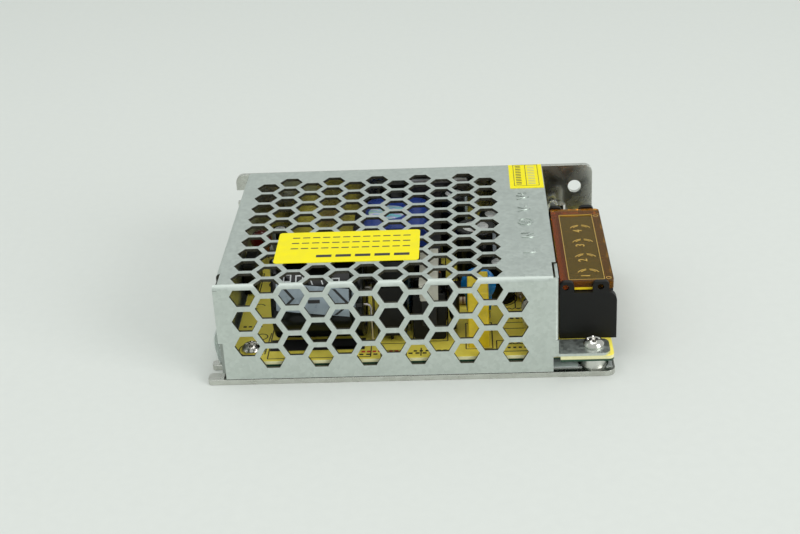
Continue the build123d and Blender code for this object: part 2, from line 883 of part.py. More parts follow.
# Flip cover: a shallow tray turned over the screws, with two pegs in the left ears
flip_front = block_front + end_wall + flip_gap
flip_rear = block_rear - end_wall - flip_gap
panel_front = flip_front + panel_front_rim
panel_rear = flip_rear - panel_rear_rim
with BuildPart() as terminal_cover:
    with BuildSketch(Plane.XY.offset(flip_foot)):
        with Locations(((flip_left + flip_right) / 2, block_mid_y)):
            Rectangle(flip_right - flip_left, flip_rear - flip_front)
    extrude(amount=flip_top - flip_foot)
    fillet(
        terminal_cover.edges().filter_by(Axis.Z).group_by(Axis.X)[-1],
        radius=flip_corner_radius,
    )
    offset(
        amount=-flip_wall,
        openings=terminal_cover.faces().sort_by(Axis.Z)[0],
        kind=Kind.INTERSECTION,
    )
    with BuildSketch(Plane.XY.offset(flip_top)):
        with Locations(((panel_left + panel_right) / 2, (panel_front + panel_rear) / 2)):
            Rectangle(panel_right - panel_left, panel_rear - panel_front)
    extrude(amount=-panel_recess, mode=Mode.SUBTRACT)
    with BuildSketch(Plane.XZ.offset(-flip_rear - peg_length)):
        with Locations((hinge_x, hinge_z)):
            Circle(peg_radius)
    extrude(amount=peg_length)
    with BuildSketch(Plane.XZ.offset(-flip_front)):
        with Locations((hinge_x, hinge_z)):
            Circle(peg_radius)
    extrude(amount=peg_length)

# Indicator lamp on its spacer
with BuildPart() as indicator_lamp:
    with BuildSketch(Plane.XZ):
        with BuildLine():
            Polyline(
                (0, lamp_top),
                (0, lamp_spacer_top),
                (lamp_radius + lamp_flange, lamp_spacer_top),
                (lamp_radius + lamp_flange, lamp_spacer_top + lamp_flange_height),
                (lamp_radius, lamp_spacer_top + lamp_flange_height),
                (lamp_radius, lamp_top - lamp_radius),
            )
            RadiusArc((lamp_radius, lamp_top - lamp_radius), (0, lamp_top), -lamp_radius)
        make_face()
    revolve(axis=Axis.Z)
indicator_lamp.part = Pos(*lamp_place, 0) * indicator_lamp.part
with BuildPart() as lamp_spacer:
    with BuildSketch(Plane.XY.offset(board_top)):
        with Locations(lamp_place):
            Circle(lamp_radius)
    extrude(amount=lamp_spacer_top - board_top)

# Output trimmer: a small housing with a tubular adjusting shaft that turns in its bore
with BuildPart() as trimmer_body:
    with BuildSketch(Plane.XY.offset(board_top)):
        with Locations(trimmer_place):
            Rectangle(trimmer_body_size, trimmer_body_size)
    extrude(amount=trimmer_body_height)
    chamfer(trimmer_body.edges().group_by(Axis.Z)[-1], length=0.4)
    with BuildSketch(Plane.XY.offset(trimmer_bore_floor)):
        with Locations(trimmer_place):
            Circle(trimmer_bore_radius)
    extrude(amount=trimmer_body_height, mode=Mode.SUBTRACT)
with BuildPart() as trimmer_shaft:
    with BuildSketch(Plane.XY.offset(trimmer_shaft_foot)):
        with Locations(trimmer_place):
            Circle(trimmer_shaft_radius)
    extrude(amount=trimmer_shaft_top - trimmer_shaft_foot)
    with BuildSketch(Plane.XY.offset(trimmer_shaft_top)):
        with Locations(trimmer_place):
            Circle(trimmer_cup_radius)
            Rectangle(trimmer_shaft_radius * 3, trimmer_slot_width)
    extrude(amount=-trimmer_cup_depth, mode=Mode.SUBTRACT)

# Main storage capacitor: a large can lying along X, its leads turned down to the board
with BuildPart() as main_capacitor:
    with BuildSketch(Plane.XZ):
        with BuildLine():
            Polyline(
                (main_can_left, 0),
                (main_can_left, main_can_radius - 1),
                (main_can_left + 1, main_can_radius),
                (main_can_right - 3.6, main_can_radius),
                (main_can_right - 2.8, main_can_radius - 0.7),
                (main_can_right - 2, main_can_radius),
                (main_can_right - 0.6, main_can_radius - 0.2),
                (main_can_right, main_can_radius - 1.4),
                (main_can_right, main_can_radius - 2.6),
                (main_can_seal, main_can_radius - 2.6),
                (main_can_seal, 0),
                close=True,
            )
        make_face()
    revolve(axis=Axis.X)
main_capacitor.part = Pos(0, main_can_y, main_can_z) * main_capacitor.part
with BuildPart() as main_capacitor_leads:
    with BuildSketch(Plane.XZ.offset(-main_can_y)):
        with BuildLine():
            FilletPolyline(
                (main_can_seal, main_can_z),
                (main_lead_x, main_can_z),
                (main_lead_x, board_top),
                radius=main_lead_bend,
            )
        trace(line_width=2 * lead_radius)
    extrude(amount=lead_radius, both=True)
    main_lead = main_capacitor_leads.part
with BuildPart() as capacitor_leads:
    with GridLocations(1, main_lead_gap, 1, 2):
        add(main_lead)

# Transformer: a bobbin with two end rails, its winding wrapped in tape, and the ferrite loop
transformer_x, transformer_y = transformer_mid
core_bottom = board_top + bobbin_plate + rail_rise
core_length = tape_length + 2 * core_yoke + core_play
with BuildPart() as transformer_bobbin:
    with BuildSketch(Plane.XY.offset(board_top)):
        with Locations(transformer_mid):
            Rectangle(tape_width + bobbin_margin, core_length + 1)
    extrude(amount=bobbin_plate)
    with BuildSketch(Plane.XY.offset(board_top)):
        with Locations(transformer_mid):
            with GridLocations(1, tape_length + core_yoke + core_play, 1, 2):
                Rectangle(tape_width + bobbin_margin, core_yoke - core_play / 2)
    extrude(amount=bobbin_plate + rail_rise)
with BuildPart() as transformer_winding:
    with BuildSketch(Plane.XZ.offset(-transformer_y - tape_length / 2)):
        with Locations((transformer_x, (board_top + bobbin_plate + transformer_top) / 2)):
            RectangleRounded(tape_width, transformer_top - board_top - bobbin_plate, tape_round)
    extrude(amount=tape_length)
with BuildPart() as transformer_core:
    with BuildSketch(Plane.XY.offset(core_bottom)):
        with Locations(transformer_mid):
            Rectangle(tape_width + 2 * core_limb + core_play, core_length)
            Rectangle(tape_width + core_play, tape_length + core_play, mode=Mode.SUBTRACT)
    extrude(amount=core_height)

# Line filter choke: bobbin with cheeks, two copper windings, a ferrite loop through them and
# a light tape wrap on the loop's upper limb
choke_x, choke_y = choke_mid
choke_tube_z = board_top + choke_tube_lift
cheek_places = [choke_y - choke_span / 2, choke_y, choke_y + choke_span / 2]
with BuildPart() as choke_bobbin:
    for cheek_y in cheek_places:
        with BuildSketch(Plane.XZ.offset(-cheek_y)):
            with Locations((choke_x, board_top + choke_cheek / 2)):
                RectangleRounded(choke_width, choke_cheek, 1)
        extrude(amount=cheek / 2, both=True)
    with BuildSketch(Plane.XZ.offset(-choke_y)):
        with Locations((choke_x, choke_tube_z)):
            Rectangle(choke_tube_size, choke_tube_size)
    extrude(amount=choke_span / 2, both=True)
    with BuildSketch(Plane.XZ.offset(-choke_y)):
        with Locations((choke_x, choke_tube_z)):
            Rectangle(choke_limb + 2 * choke_play, choke_limb + 2 * choke_play)
    extrude(amount=choke_span, both=True, mode=Mode.SUBTRACT)
with BuildPart() as choke_windings:
    for winding_y in (choke_y - choke_span / 4, choke_y + choke_span / 4):
        with BuildSketch(Plane.XZ.offset(-winding_y)):
            with Locations((choke_x, choke_tube_z)):
                RectangleRounded(choke_width - 1, choke_cheek - 2.6, 2.5)
                Rectangle(
                    choke_tube_size + 2 * choke_play,
                    choke_tube_size + 2 * choke_play,
                    mode=Mode.SUBTRACT,
                )
        extrude(amount=choke_span / 4 - cheek / 2 - choke_play, both=True)
choke_loop_bottom = choke_tube_z - choke_limb / 2
choke_window_bottom = choke_tube_z + choke_limb / 2
choke_window_top = board_top + choke_cheek + choke_play
choke_loop_top = choke_window_top + choke_limb - 0.7
with BuildPart() as choke_core:
    with BuildSketch(Plane.YZ.offset(choke_x)):
        with Locations((choke_y, (choke_loop_bottom + choke_loop_top) / 2)):
            Rectangle(choke_span + 2 * choke_yoke + cheek, choke_loop_top - choke_loop_bottom)
        with Locations((choke_y, (choke_window_bottom + choke_window_top) / 2)):
            Rectangle(
                choke_span + cheek + choke_play,
                choke_window_top - choke_window_bottom,
                mode=Mode.SUBTRACT,
            )
    extrude(amount=choke_limb / 2, both=True)
with BuildPart() as choke_tape:
    with BuildSketch(Plane.XZ.offset(-choke_y)):
        with BuildLine():
            Polyline(
                (choke_x - choke_limb / 2, choke_window_top),
                (choke_x - choke_limb / 2 - choke_tape_overlap, choke_window_top),
                (choke_x - choke_limb / 2 - choke_tape_overlap, choke_loop_top + choke_tape_overlap),
                (choke_x + choke_limb / 2 + choke_tape_overlap, choke_loop_top + choke_tape_overlap),
                (choke_x + choke_limb / 2 + choke_tape_overlap, choke_window_top),
                (choke_x + choke_limb / 2, choke_window_top),
                (choke_x + choke_limb / 2, choke_loop_top),
                (choke_x - choke_limb / 2, choke_loop_top),
                close=True,
            )
        make_face()
    extrude(amount=choke_span / 2 + choke_yoke, both=True)

# Line side parts: suppression film capacitor, bridge, thermistor, varistor, disc and fuse
with BuildPart() as film_capacitor:
    with Locations((*film_box_mid, board_top)):
        add(boxed_capacitor(*film_box_size))
with BuildPart() as bridge_rectifier:
    with BuildSketch(Plane.XY.offset(board_top + bridge_lift)):
        with Locations(bridge_mid):
            Rectangle(bridge_size[0], bridge_size[1])
    extrude(amount=bridge_size[2])
    chamfer(
        bridge_rectifier.edges().filter_by(Axis.X).group_by(Axis.Z)[-1].sort_by(Axis.Y)[-1],
        length=bridge_corner,
    )
    with BuildSketch(Plane.XY.offset(board_top)):
        with Locations(bridge_mid):
            with GridLocations(1, 5, 1, 4):
                Rectangle(0.8, 1)
    extrude(amount=bridge_lift)
thermistor_shape = dipped_disc(*thermistor_size)
varistor_shape = dipped_disc(*varistor_size)
disc_shape = dipped_disc(*disc_size)
with BuildPart() as thermistor:
    with Locations(Location((*thermistor_place, board_top), (0, 0, 90))):
        add(thermistor_shape)
with BuildPart() as varistor:
    with Locations(Location((*varistor_place, board_top), (0, 0, 90))):
        add(varistor_shape)
with BuildPart() as safety_disc_capacitor:
    with Locations((*disc_place, board_top)):
        add(disc_shape)
with BuildPart() as line_fuse:
    with Locations(Location((*fuse_place, board_top), (0, 0, 90))):
        add(axial_part(*fuse_size))

# Power devices: each lies on a grey pad against the rear wall under a spring clip
device_shape = power_device(device_foot - board_top)
device_back = wall_face - pad_thickness
with BuildPart() as insulating_pads:
    with BuildSketch(Plane.XZ.offset(-wall_face)):
        with Locations([(x, pad_foot + pad_height / 2) for x in (switch_x, rectifier_x)]):
            Rectangle(device_width + 2, pad_height)
    extrude(amount=pad_thickness)
with BuildPart() as switching_transistor:
    with Locations((switch_x, device_back, board_top)):
        add(device_shape)
with BuildPart() as output_rectifier:
    with Locations((rectifier_x, device_back, board_top)):
        add(device_shape)
with BuildPart() as device_clip:
    clip_back = device_back - device_tab_depth - clip_sheet / 2
    clip_top = clip_foot + clip_height
    with BuildSketch(Plane.YZ.offset(clip_left)):
        with BuildLine():
            FilletPolyline(
                (clip_back, clip_foot),
                (clip_back, clip_top),
                (clip_back - clip_reach, clip_top),
                (clip_back - clip_reach - clip_nose[0], clip_top - clip_nose[1]),
                radius=clip_bend,
            )
        trace(line_width=clip_sheet)
    extrude(amount=clip_width)

# Output side: storage cans, a wound drum choke, and the load resistors
with BuildPart() as output_capacitors:
    for can_radius, can_height, can_place in output_cans:
        with Locations((*can_place, board_top)):
            add(electrolytic(can_radius, can_height))
with BuildPart() as bias_capacitors:
    for can_radius, can_height, can_place in bias_cans:
        with Locations((*can_place, board_top)):
            add(electrolytic(can_radius, can_height))
with BuildPart() as output_choke_core:
    with BuildSketch(Plane.XZ.offset(-drum_place[1])):
        with BuildLine():
            Polyline(
                (drum_place[0], board_top),
                (drum_place[0] + drum_radius, board_top),
                (drum_place[0] + drum_radius, board_top + drum_flange),
                (drum_place[0] + drum_neck, board_top + drum_flange),
                (drum_place[0] + drum_neck, board_top + drum_height - drum_flange),
                (drum_place[0] + drum_radius, board_top + drum_height - drum_flange),
                (drum_place[0] + drum_radius, board_top + drum_height),
                (drum_place[0], board_top + drum_height),
                close=True,
            )
        make_face()
    revolve(axis=Axis((*drum_place, 0), (0, 0, 1)))
with BuildPart() as output_choke_winding:
    with BuildSketch(Plane.XY.offset(board_top + drum_flange + winding_play)):
        with Locations(drum_place):
            Circle(drum_radius - winding_inset)
            Circle(drum_neck + winding_play, mode=Mode.SUBTRACT)
    extrude(amount=drum_height - 2 * (drum_flange + winding_play))

# Control section: driver chip, optocoupler, resistors, a dipped and a boxed film capacitor
with BuildPart() as control_chip:
    with Locations((*chip_place, board_top)):
        add(leaded_package(*chip_size))
with BuildPart() as optocoupler:
    with Locations(Location((*opto_place, board_top), (0, 0, 90))):
        add(leaded_package(*opto_size))
resistor_shape = axial_part(*resistor_size)
with BuildPart() as resistors:
    for place, turn in resistor_places:
        with Locations(Location((*place, board_top), (0, 0, turn))):
            add(resistor_shape)
diode_shape = axial_part(*diode_size)
with BuildPart() as diodes:
    for place, turn in diode_places:
        with Locations(Location((*place, board_top), (0, 0, turn))):
            add(diode_shape)
snubber_shape = dipped_disc(*snubber_size)
with BuildPart() as snubber_capacitor:
    with Locations((*snubber_place, board_top)):
        add(snubber_shape)
with BuildPart() as bias_film_capacitor:
    with Locations((*bias_box_mid, board_top)):
        add(boxed_capacitor(*bias_box_size))

# Labels: thin yellow film stuck on the cover's top
with BuildPart() as cover_label:
    with BuildSketch(Plane.XY.offset(case_height)):
        with Locations(((label_left + label_right) / 2, (label_front + label_rear) / 2)):
            RectangleRounded(label_right - label_left, label_rear - label_front, 1)
    extrude(amount=label_thickness)
with BuildPart() as corner_label:
    with BuildSketch(Plane.XY.offset(case_height)):
        with Locations(((corner_left + corner_right) / 2, (corner_front + wall_face) / 2)):
            Rectangle(corner_right - corner_left, wall_face - corner_front)
    extrude(amount=label_thickness)

os.makedirs("parts", exist_ok=True)
pieces = {
    "chassis_base": chassis_base,
    "insulation_sheet": insulation_sheet,
    "circuit_board": circuit_board,
    "board_screws": board_screws,
    "cover_screw": cover_screw,
    "perforated_cover": perforated_cover,
    "cover_label": cover_label,
    "corner_label": corner_label,
    "terminal_block": terminal_block,
    "terminal_tongues": terminal_tongues,
    "terminal_clamps": terminal_clamps,
    "terminal_screws": terminal_screws,
    "terminal_cover": terminal_cover,
    "indicator_lamp": indicator_lamp,
    "lamp_spacer": lamp_spacer,
    "trimmer_body": trimmer_body,
    "trimmer_shaft": trimmer_shaft,
    "main_capacitor": main_capacitor,
    "capacitor_leads": capacitor_leads,
    "transformer_bobbin": transformer_bobbin,
    "transformer_winding": transformer_winding,
    "transformer_core": transformer_core,
    "choke_bobbin": choke_bobbin,
    "choke_windings": choke_windings,
    "choke_core": choke_core,
    "choke_tape": choke_tape,
    "film_capacitor": film_capacitor,
    "bridge_rectifier": bridge_rectifier,
    "thermistor": thermistor,
    "varistor": varistor,
    "safety_disc_capacitor": safety_disc_capacitor,
    "line_fuse": line_fuse,
    "insulating_pads": insulating_pads,
    "switching_transistor": switching_transistor,
    "output_rectifier": output_rectifier,
    "device_clip": device_clip,
    "output_capacitors": output_capacitors,
    "bias_capacitors": bias_capacitors,
    "output_choke_core": output_choke_core,
    "output_choke_winding": output_choke_winding,
    "control_chip": control_chip,
    "optocoupler": optocoupler,
    "resistors": resistors,
    "diodes": diodes,
    "snubber_capacitor": snubber_capacitor,
    "bias_film_capacitor": bias_film_capacitor,
}
for label, piece in pieces.items():
    piece.part.label = label
    export_step(piece.part, f"parts/{label}.step")
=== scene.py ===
# %% [markdown]
# Switching power supply, dressed over its CAD frame
#
# The real object is a small open-frame power supply: an aluminium L, a printed board full of
# parts, a perforated steel cover and a row of screw terminals under an amber flip cover.
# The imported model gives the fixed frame. This lesson adds the finishes, rounds the metal's
# edges, and builds the wound, dipped and printed pieces as surfaces worked out with numpy.

import json
import math

import bmesh
import bpy
import numpy as np
from mathutils import Matrix, Vector


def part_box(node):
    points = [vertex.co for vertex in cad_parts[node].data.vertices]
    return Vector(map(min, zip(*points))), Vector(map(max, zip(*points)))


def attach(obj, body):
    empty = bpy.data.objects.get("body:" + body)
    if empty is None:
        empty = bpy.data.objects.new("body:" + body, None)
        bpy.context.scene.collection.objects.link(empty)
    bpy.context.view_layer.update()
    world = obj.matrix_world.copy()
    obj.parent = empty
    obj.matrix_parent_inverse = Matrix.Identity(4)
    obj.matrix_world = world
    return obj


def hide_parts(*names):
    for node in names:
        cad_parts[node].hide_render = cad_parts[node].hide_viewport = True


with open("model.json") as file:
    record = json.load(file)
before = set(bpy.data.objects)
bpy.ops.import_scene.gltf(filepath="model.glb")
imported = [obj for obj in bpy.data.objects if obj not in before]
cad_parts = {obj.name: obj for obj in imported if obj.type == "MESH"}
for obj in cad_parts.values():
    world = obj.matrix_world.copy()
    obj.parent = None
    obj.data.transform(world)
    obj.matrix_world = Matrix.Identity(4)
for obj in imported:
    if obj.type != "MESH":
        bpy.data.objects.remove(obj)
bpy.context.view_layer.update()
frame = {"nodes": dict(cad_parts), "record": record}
nodes = frame["nodes"]
MM = 0.001

# %% [markdown]
# The camera comes first, because every later choice is judged through it. A camera can be
# aimed by eye, but here its place and turn come from numbers: where the lens stands, how far
# it looks down, how far it is swung to the side and how far it is rolled. The three axes of
# the camera are built from those angles and become the columns of its matrix.

# %% Camera at the photograph's viewpoint
CAMERA_PLACE = (17.305, -373.109, 200.186)
SWING, DIP, ROLL = math.radians(3.178), math.radians(26.373), math.radians(-3.005)
FOCAL_LENGTH = 64.87


def new_object(name, data):
    """An object at the origin that shows its data in the scene."""
    holder = bpy.data.objects.new(name, data)
    bpy.context.scene.collection.objects.link(holder)
    return holder


side = np.array([1.0, 0.0, 0.0])
upward = np.array([0.0, math.sin(DIP), math.cos(DIP)])
forward = np.array([0.0, math.cos(DIP), -math.sin(DIP)])
turn = np.array(Matrix.Rotation(SWING, 3, "Z"))
right_axis = turn @ (math.cos(ROLL) * side + math.sin(ROLL) * upward)
up_axis = turn @ (-math.sin(ROLL) * side + math.cos(ROLL) * upward)
back_axis = -turn @ forward

camera_data = bpy.data.cameras.new("camera")
camera_data.lens = FOCAL_LENGTH
camera_data.sensor_width = 36.0
camera_data.clip_start = 0.01
camera = new_object("camera", camera_data)
columns = [right_axis, up_axis, back_axis, np.array(CAMERA_PLACE) * MM]
camera.matrix_world = Matrix([*np.stack(columns, 1).tolist(), [0, 0, 0, 1]])
bpy.context.scene.camera = camera
print("camera looks along", np.round(-back_axis, 3))

# %% [markdown]
# Helpers that turn arrays into meshes. A piece is one or more grids of points; neighbours on
# a grid are joined by quads, doubles are merged so that poles and seams close, and edges
# sharper than an angle stay sharp while the rest is shaded smooth.

# %% Mesh helpers: from points to a piece
MERGE_DISTANCE = 1e-6
SHARP_ANGLE = math.radians(35)


def merge_and_turn(mesh):
    """Merges double points, which closes seams and poles, and turns the faces outwards."""
    build = bmesh.new()
    build.from_mesh(mesh)
    bmesh.ops.remove_doubles(build, verts=build.verts, dist=MERGE_DISTANCE)
    bmesh.ops.recalc_face_normals(build, faces=build.faces)
    build.to_mesh(mesh)
    build.free()


def mesh_piece(name, points, faces):
    """A mesh from points in millimetres and rows of point numbers, closed and turned outwards."""
    mesh = bpy.data.meshes.new(name)
    mesh.from_pydata((np.asarray(points) * MM).tolist(), [], np.asarray(faces).tolist())
    merge_and_turn(mesh)
    mesh.shade_smooth()
    mesh.set_sharp_from_angle(angle=SHARP_ANGLE)
    return new_object(name, mesh)


def grid_piece(name, grids, closed=True):
    """Grids of points as one mesh: point (i, j) is joined to (i+1, j), (i+1, j+1), (i, j+1), and
    the last column of a closed grid to its first."""
    points, faces, start = [], [], 0
    for grid in grids:
        rows, columns = grid.shape[:2]
        i, j = np.meshgrid(np.arange(rows - 1), np.arange(columns - (not closed)), indexing="ij")
        across = (j + 1) % columns
        corner_rows = [i * columns + j, (i + 1) * columns + j]
        corner_rows += [(i + 1) * columns + across, i * columns + across]
        faces.append(np.stack(corner_rows, -1).reshape(-1, 4) + start)
        points.append(grid.reshape(-1, 3))
        start += rows * columns
    return mesh_piece(name, np.concatenate(points), np.concatenate(faces))


# %% [markdown]
# Three formulas give most of the grids. A profile turned about an axis makes cans and screws,
# a ring carried along a path makes wires, and a superellipsoid, whose cosines and sines are
# raised to a power, goes from a ball to a rounded box as the power shrinks.

# %% Grids: turned profiles, wires and rounded forms
def turned(profile, centre=(0, 0, 0), axis=2, steps=48, start=0.0, sweep=360.0):
    """A profile of (radius, height) turned about an axis: radius cos a, radius sin a, height."""
    radius, height = np.array(profile, float).T
    angle = np.radians(start + np.linspace(0, sweep, steps, endpoint=sweep < 360))
    x, y = radius[:, None] * np.cos(angle), radius[:, None] * np.sin(angle)
    z = np.broadcast_to(height[:, None], x.shape)
    return np.roll(np.stack([x, y, z], -1), axis + 1, axis=-1) + np.array(centre, float)


def wire(path, radius, across, sides=8):
    """A round wire: each ring is path + radius (cos a side + sin a rise), its ends pulled shut."""
    path = np.asarray(path, float)
    along = np.gradient(path, axis=0)
    along /= np.linalg.norm(along, axis=1, keepdims=True)
    sideways = np.cross(along, np.asarray(across, float))
    sideways /= np.linalg.norm(sideways, axis=1, keepdims=True)
    rise = np.cross(along, sideways)
    angle = np.radians(np.linspace(0, 360, sides, endpoint=False))[None, :, None]
    rings = path[:, None] + radius * (
        np.cos(angle) * sideways[:, None] + np.sin(angle) * rise[:, None]
    )
    ends = np.broadcast_to(path[[0, -1], None], (2, sides, 3))
    return np.concatenate([ends[:1], rings, ends[1:]])


def signed_power(value, exponent):
    """The value's size raised to the exponent, with the value's own sign."""
    return np.sign(value) * np.abs(value) ** exponent


def rounded_form(centre, half, axis=2, flat=(0.3, 1.0), steps=(24, 48)):
    """A superellipsoid. With p the signed power: across = p(cos v) p(cos u) and p(cos v) p(sin u),
    along = p(sin v); small exponents make it boxy."""
    v = np.radians(np.linspace(-90, 90, steps[0]))[:, None]
    u = np.radians(np.linspace(-180, 180, steps[1], endpoint=False))[None]
    ring = signed_power(np.cos(v), flat[0])
    ring[[0, -1]] = 0
    x = ring * signed_power(np.cos(u), flat[1])
    y = ring * signed_power(np.sin(u), flat[1])
    z = np.broadcast_to(signed_power(np.sin(v), flat[0]), x.shape)
    grid = np.roll(np.stack([x, y, z], -1), axis + 1, axis=-1)
    return grid * np.array(half, float) + np.array(centre, float)


# %% [markdown]
# Many pieces are sized from the part that they stand for.

# %% Corners of a CAD node
def corners(node):
    """The lowest and highest corner of a CAD node, in millimetres."""
    low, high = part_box(node)
    return np.array(low) / MM, np.array(high) / MM


print("board top at", round(corners("circuit_board")[1][2], 2), "mm")

# %% [markdown]
# Finishes are node trees on the Principled shader. A value that is the same all over is set
# on the socket; only what varies over the surface is wired. Object coordinates, scaled so
# that one unit is a millimetre, let every pattern be given in real sizes.

# %% A material and its nodes
def start_finish(name, colour, roughness, metallic=0.0, **sockets):
    """A material with plain values on its Principled shader; Coat_Weight means Coat Weight."""
    finish = bpy.data.materials.new(name)
    finish.use_nodes = True
    shader = finish.node_tree.nodes["Principled BSDF"]
    shader.inputs["Base Color"].default_value = (*colour, 1)
    shader.inputs["Roughness"].default_value = roughness
    shader.inputs["Metallic"].default_value = metallic
    for socket, value in sockets.items():
        shader.inputs[socket.replace("_", " ")].default_value = value
    finish.diffuse_color = (*colour, 1)
    return finish


def add_node(finish, kind, inputs=(), **settings):
    """A node with its settings, its inputs taking either a plain value or a link."""
    node = finish.node_tree.nodes.new(kind)
    for key, value in settings.items():
        setattr(node, key, value)
    for socket, value in dict(inputs).items():
        if isinstance(value, bpy.types.NodeSocket):
            finish.node_tree.links.new(value, node.inputs[socket])
        else:
            node.inputs[socket].default_value = value
    return node


# %% [markdown]
# A pattern is a chain of small nodes: a coordinate, a noise read there, a range stretched to
# fit, and a blend of two colours. One short function for each keeps the finishes readable.

# %% Patterns in millimetres
def millimetres(finish, stretch=(1, 1, 1)):
    """Object coordinates in millimetres, each axis multiplied by its stretch."""
    position = add_node(finish, "ShaderNodeTexCoord").outputs["Object"]
    scale = [factor / MM for factor in stretch]
    mapping = add_node(finish, "ShaderNodeMapping", {"Vector": position, "Scale": scale})
    return mapping.outputs["Vector"]


def coordinate(finish, axis):
    """One object coordinate, X, Y or Z, in millimetres."""
    split = add_node(finish, "ShaderNodeSeparateXYZ", {"Vector": millimetres(finish)})
    return split.outputs[axis]


def noise(finish, per_mm, detail=3.0, stretch=(1, 1, 1)):
    """Smooth noise with per_mm lumps to the millimetre."""
    vector = millimetres(finish, stretch)
    settings = {"Vector": vector, "Scale": per_mm, "Detail": detail}
    return add_node(finish, "ShaderNodeTexNoise", settings).outputs["Fac"]


def level(finish, value, low, high, source=(0.3, 0.7)):
    """Maps a value from its source range onto low to high."""
    inputs = {"Value": value, "From Min": source[0], "From Max": source[1]}
    inputs.update({"To Min": low, "To Max": high})
    return add_node(finish, "ShaderNodeMapRange", inputs).outputs["Result"]


def blend(finish, factor, first, second):
    """first where the factor is 0, second where it is 1."""
    node = add_node(finish, "ShaderNodeMix", data_type="RGBA")
    for socket, value in ((0, factor), (6, first), (7, second)):
        if isinstance(value, bpy.types.NodeSocket):
            finish.node_tree.links.new(value, node.inputs[socket])
        elif socket:
            node.inputs[socket].default_value = (*value, 1)
        else:
            node.inputs[socket].default_value = value
    return node.outputs[2]


# %% [markdown]
# Most surfaces here are plain. A slow drift of colour and gloss, with a fine grain on top, is
# enough to keep them from looking painted, so one recipe serves them all.

# %% The recipe for plain surfaces
def dress(finish, colour=None, roughness=None, height=None, depth=0.01):
    """Wires what varies into the shader; height becomes a bump of that depth in millimetres."""
    shader = finish.node_tree.nodes["Principled BSDF"]
    for socket, value in (("Base Color", colour), ("Roughness", roughness)):
        if value is not None:
            finish.node_tree.links.new(value, shader.inputs[socket])
    if height is not None:
        bump = add_node(finish, "ShaderNodeBump", {"Height": height, "Distance": depth * MM})
        finish.node_tree.links.new(bump.outputs["Normal"], shader.inputs["Normal"])
    return finish


def plain_finish(name, colour, roughness, grain=4.0, depth=0.006, drift=0.12, **sockets):
    """A moulded, dipped or ground surface: colour and gloss drift slowly, with fine grain."""
    finish = start_finish(name, colour, roughness, **sockets)
    slow, fine = noise(finish, 0.35), noise(finish, grain)
    darker = [part * (1 - drift) for part in colour]
    lighter = [min(part * (1 + drift), 1) for part in colour]
    shade = blend(finish, level(finish, slow, 0, 1), darker, lighter)
    gloss = level(finish, slow, roughness * 0.85, min(roughness * 1.2, 1))
    return dress(finish, shade, gloss, fine, depth)


# %% [markdown]
# The two sheet metals. Galvanised steel is a patchwork of zinc crystals, each leaning its own
# way, so a Voronoi pattern gives every crystal its own brightness and gloss. Where the punch
# has cut the sheet there is no zinc, so the walls of the holes are duller; their near-black
# tone is painted shade from the dark inside of the case. A face attribute, written further
# down, tells the finish which faces those are. Along the fold the zinc is rubbed, which dulls
# the line of light there. Mill-finish aluminium is duller, clouded all over, with only a faint
# grain along the rolling direction.

# %% Sheet metal finishes
cover_low, cover_high = corners("perforated_cover")
fold_reach = cover_high[2] - cover_low[1]


def make_galvanised():
    finish = start_finish("galvanised_steel", (0.6, 0.65, 0.61), 0.42, metallic=1.0)
    pattern = {"Vector": millimetres(finish), "Scale": 1.1}
    cells = add_node(finish, "ShaderNodeTexVoronoi", pattern)
    spangle = add_node(finish, "ShaderNodeSeparateColor", {"Color": cells.outputs["Color"]})
    crystal = spangle.outputs["Red"]
    tone = level(finish, crystal, 0, 1, (0, 1))
    tone = blend(finish, tone, (0.56, 0.61, 0.57), (0.63, 0.68, 0.64))
    cloud = level(finish, noise(finish, 0.12, detail=5), 0, 0.3, (0.5, 0.75))
    smudge = blend(finish, cloud, tone, (0.5, 0.54, 0.51))
    cut = add_node(finish, "ShaderNodeAttribute", attribute_name="cut_edge").outputs["Fac"]
    # Painted shade: the cut walls take a near-black, dull tone for the dark inside seen past them.
    edge_shade_drift = level(finish, noise(finish, 3.0), 0, 1)
    cut_edge_shade = blend(finish, edge_shade_drift, (0.01, 0.009, 0.004), (0.05, 0.047, 0.03))
    outward = {0: millimetres(finish), 1: (0, -1, 1)}
    reach = add_node(finish, "ShaderNodeVectorMath", outward, operation="DOT_PRODUCT")
    rubbed = (fold_reach - 1.4, fold_reach - 0.8)
    gloss = {0: level(finish, crystal, 0.36, 0.48, (0, 1))}
    gloss[1] = level(finish, reach.outputs["Value"], 0, 0.24, rubbed)
    gloss = add_node(finish, "ShaderNodeMath", gloss, operation="ADD").outputs["Value"]
    shader = finish.node_tree.nodes["Principled BSDF"]
    finish.node_tree.links.new(level(finish, cut, 1, 0, (0, 1)), shader.inputs["Metallic"])
    tone = blend(finish, cut, smudge, cut_edge_shade)
    return dress(finish, tone, gloss, noise(finish, 3.5, detail=5), 0.014)


def make_aluminium():
    finish = start_finish("mill_aluminium", (0.58, 0.59, 0.55), 0.25, metallic=1.0)
    streak = noise(finish, 3.0, detail=4, stretch=(0.12, 1, 1))
    cloud = noise(finish, 0.3, detail=6)
    tone = blend(finish, level(finish, streak, 0, 1), (0.6, 0.61, 0.56), (0.69, 0.7, 0.65))
    worn = blend(finish, level(finish, cloud, 0, 0.6, (0.4, 0.7)), tone, (0.46, 0.46, 0.41))
    gloss = level(finish, cloud, 0.2, 0.32)
    return dress(finish, worn, gloss, streak, 0.002)


galvanised, aluminium = make_galvanised(), make_aluminium()
print("sheet metals:", galvanised.name, aluminium.name)

# %% [markdown]
# The board is yellow-printed laminate on top, dark green lacquer below, and shows its pale
# core along the cut edge; the lowest part of that edge is painted dark green as painted shade.
# Height alone tells these apart, so the object's own Z picks the colour; a slow noise adds the
# cloudiness of printed laminate.

# %% Board finish
LACQUER = (0.01, 0.05, 0.025)
board_low, board_high = corners("circuit_board")
board_top = board_high[2]


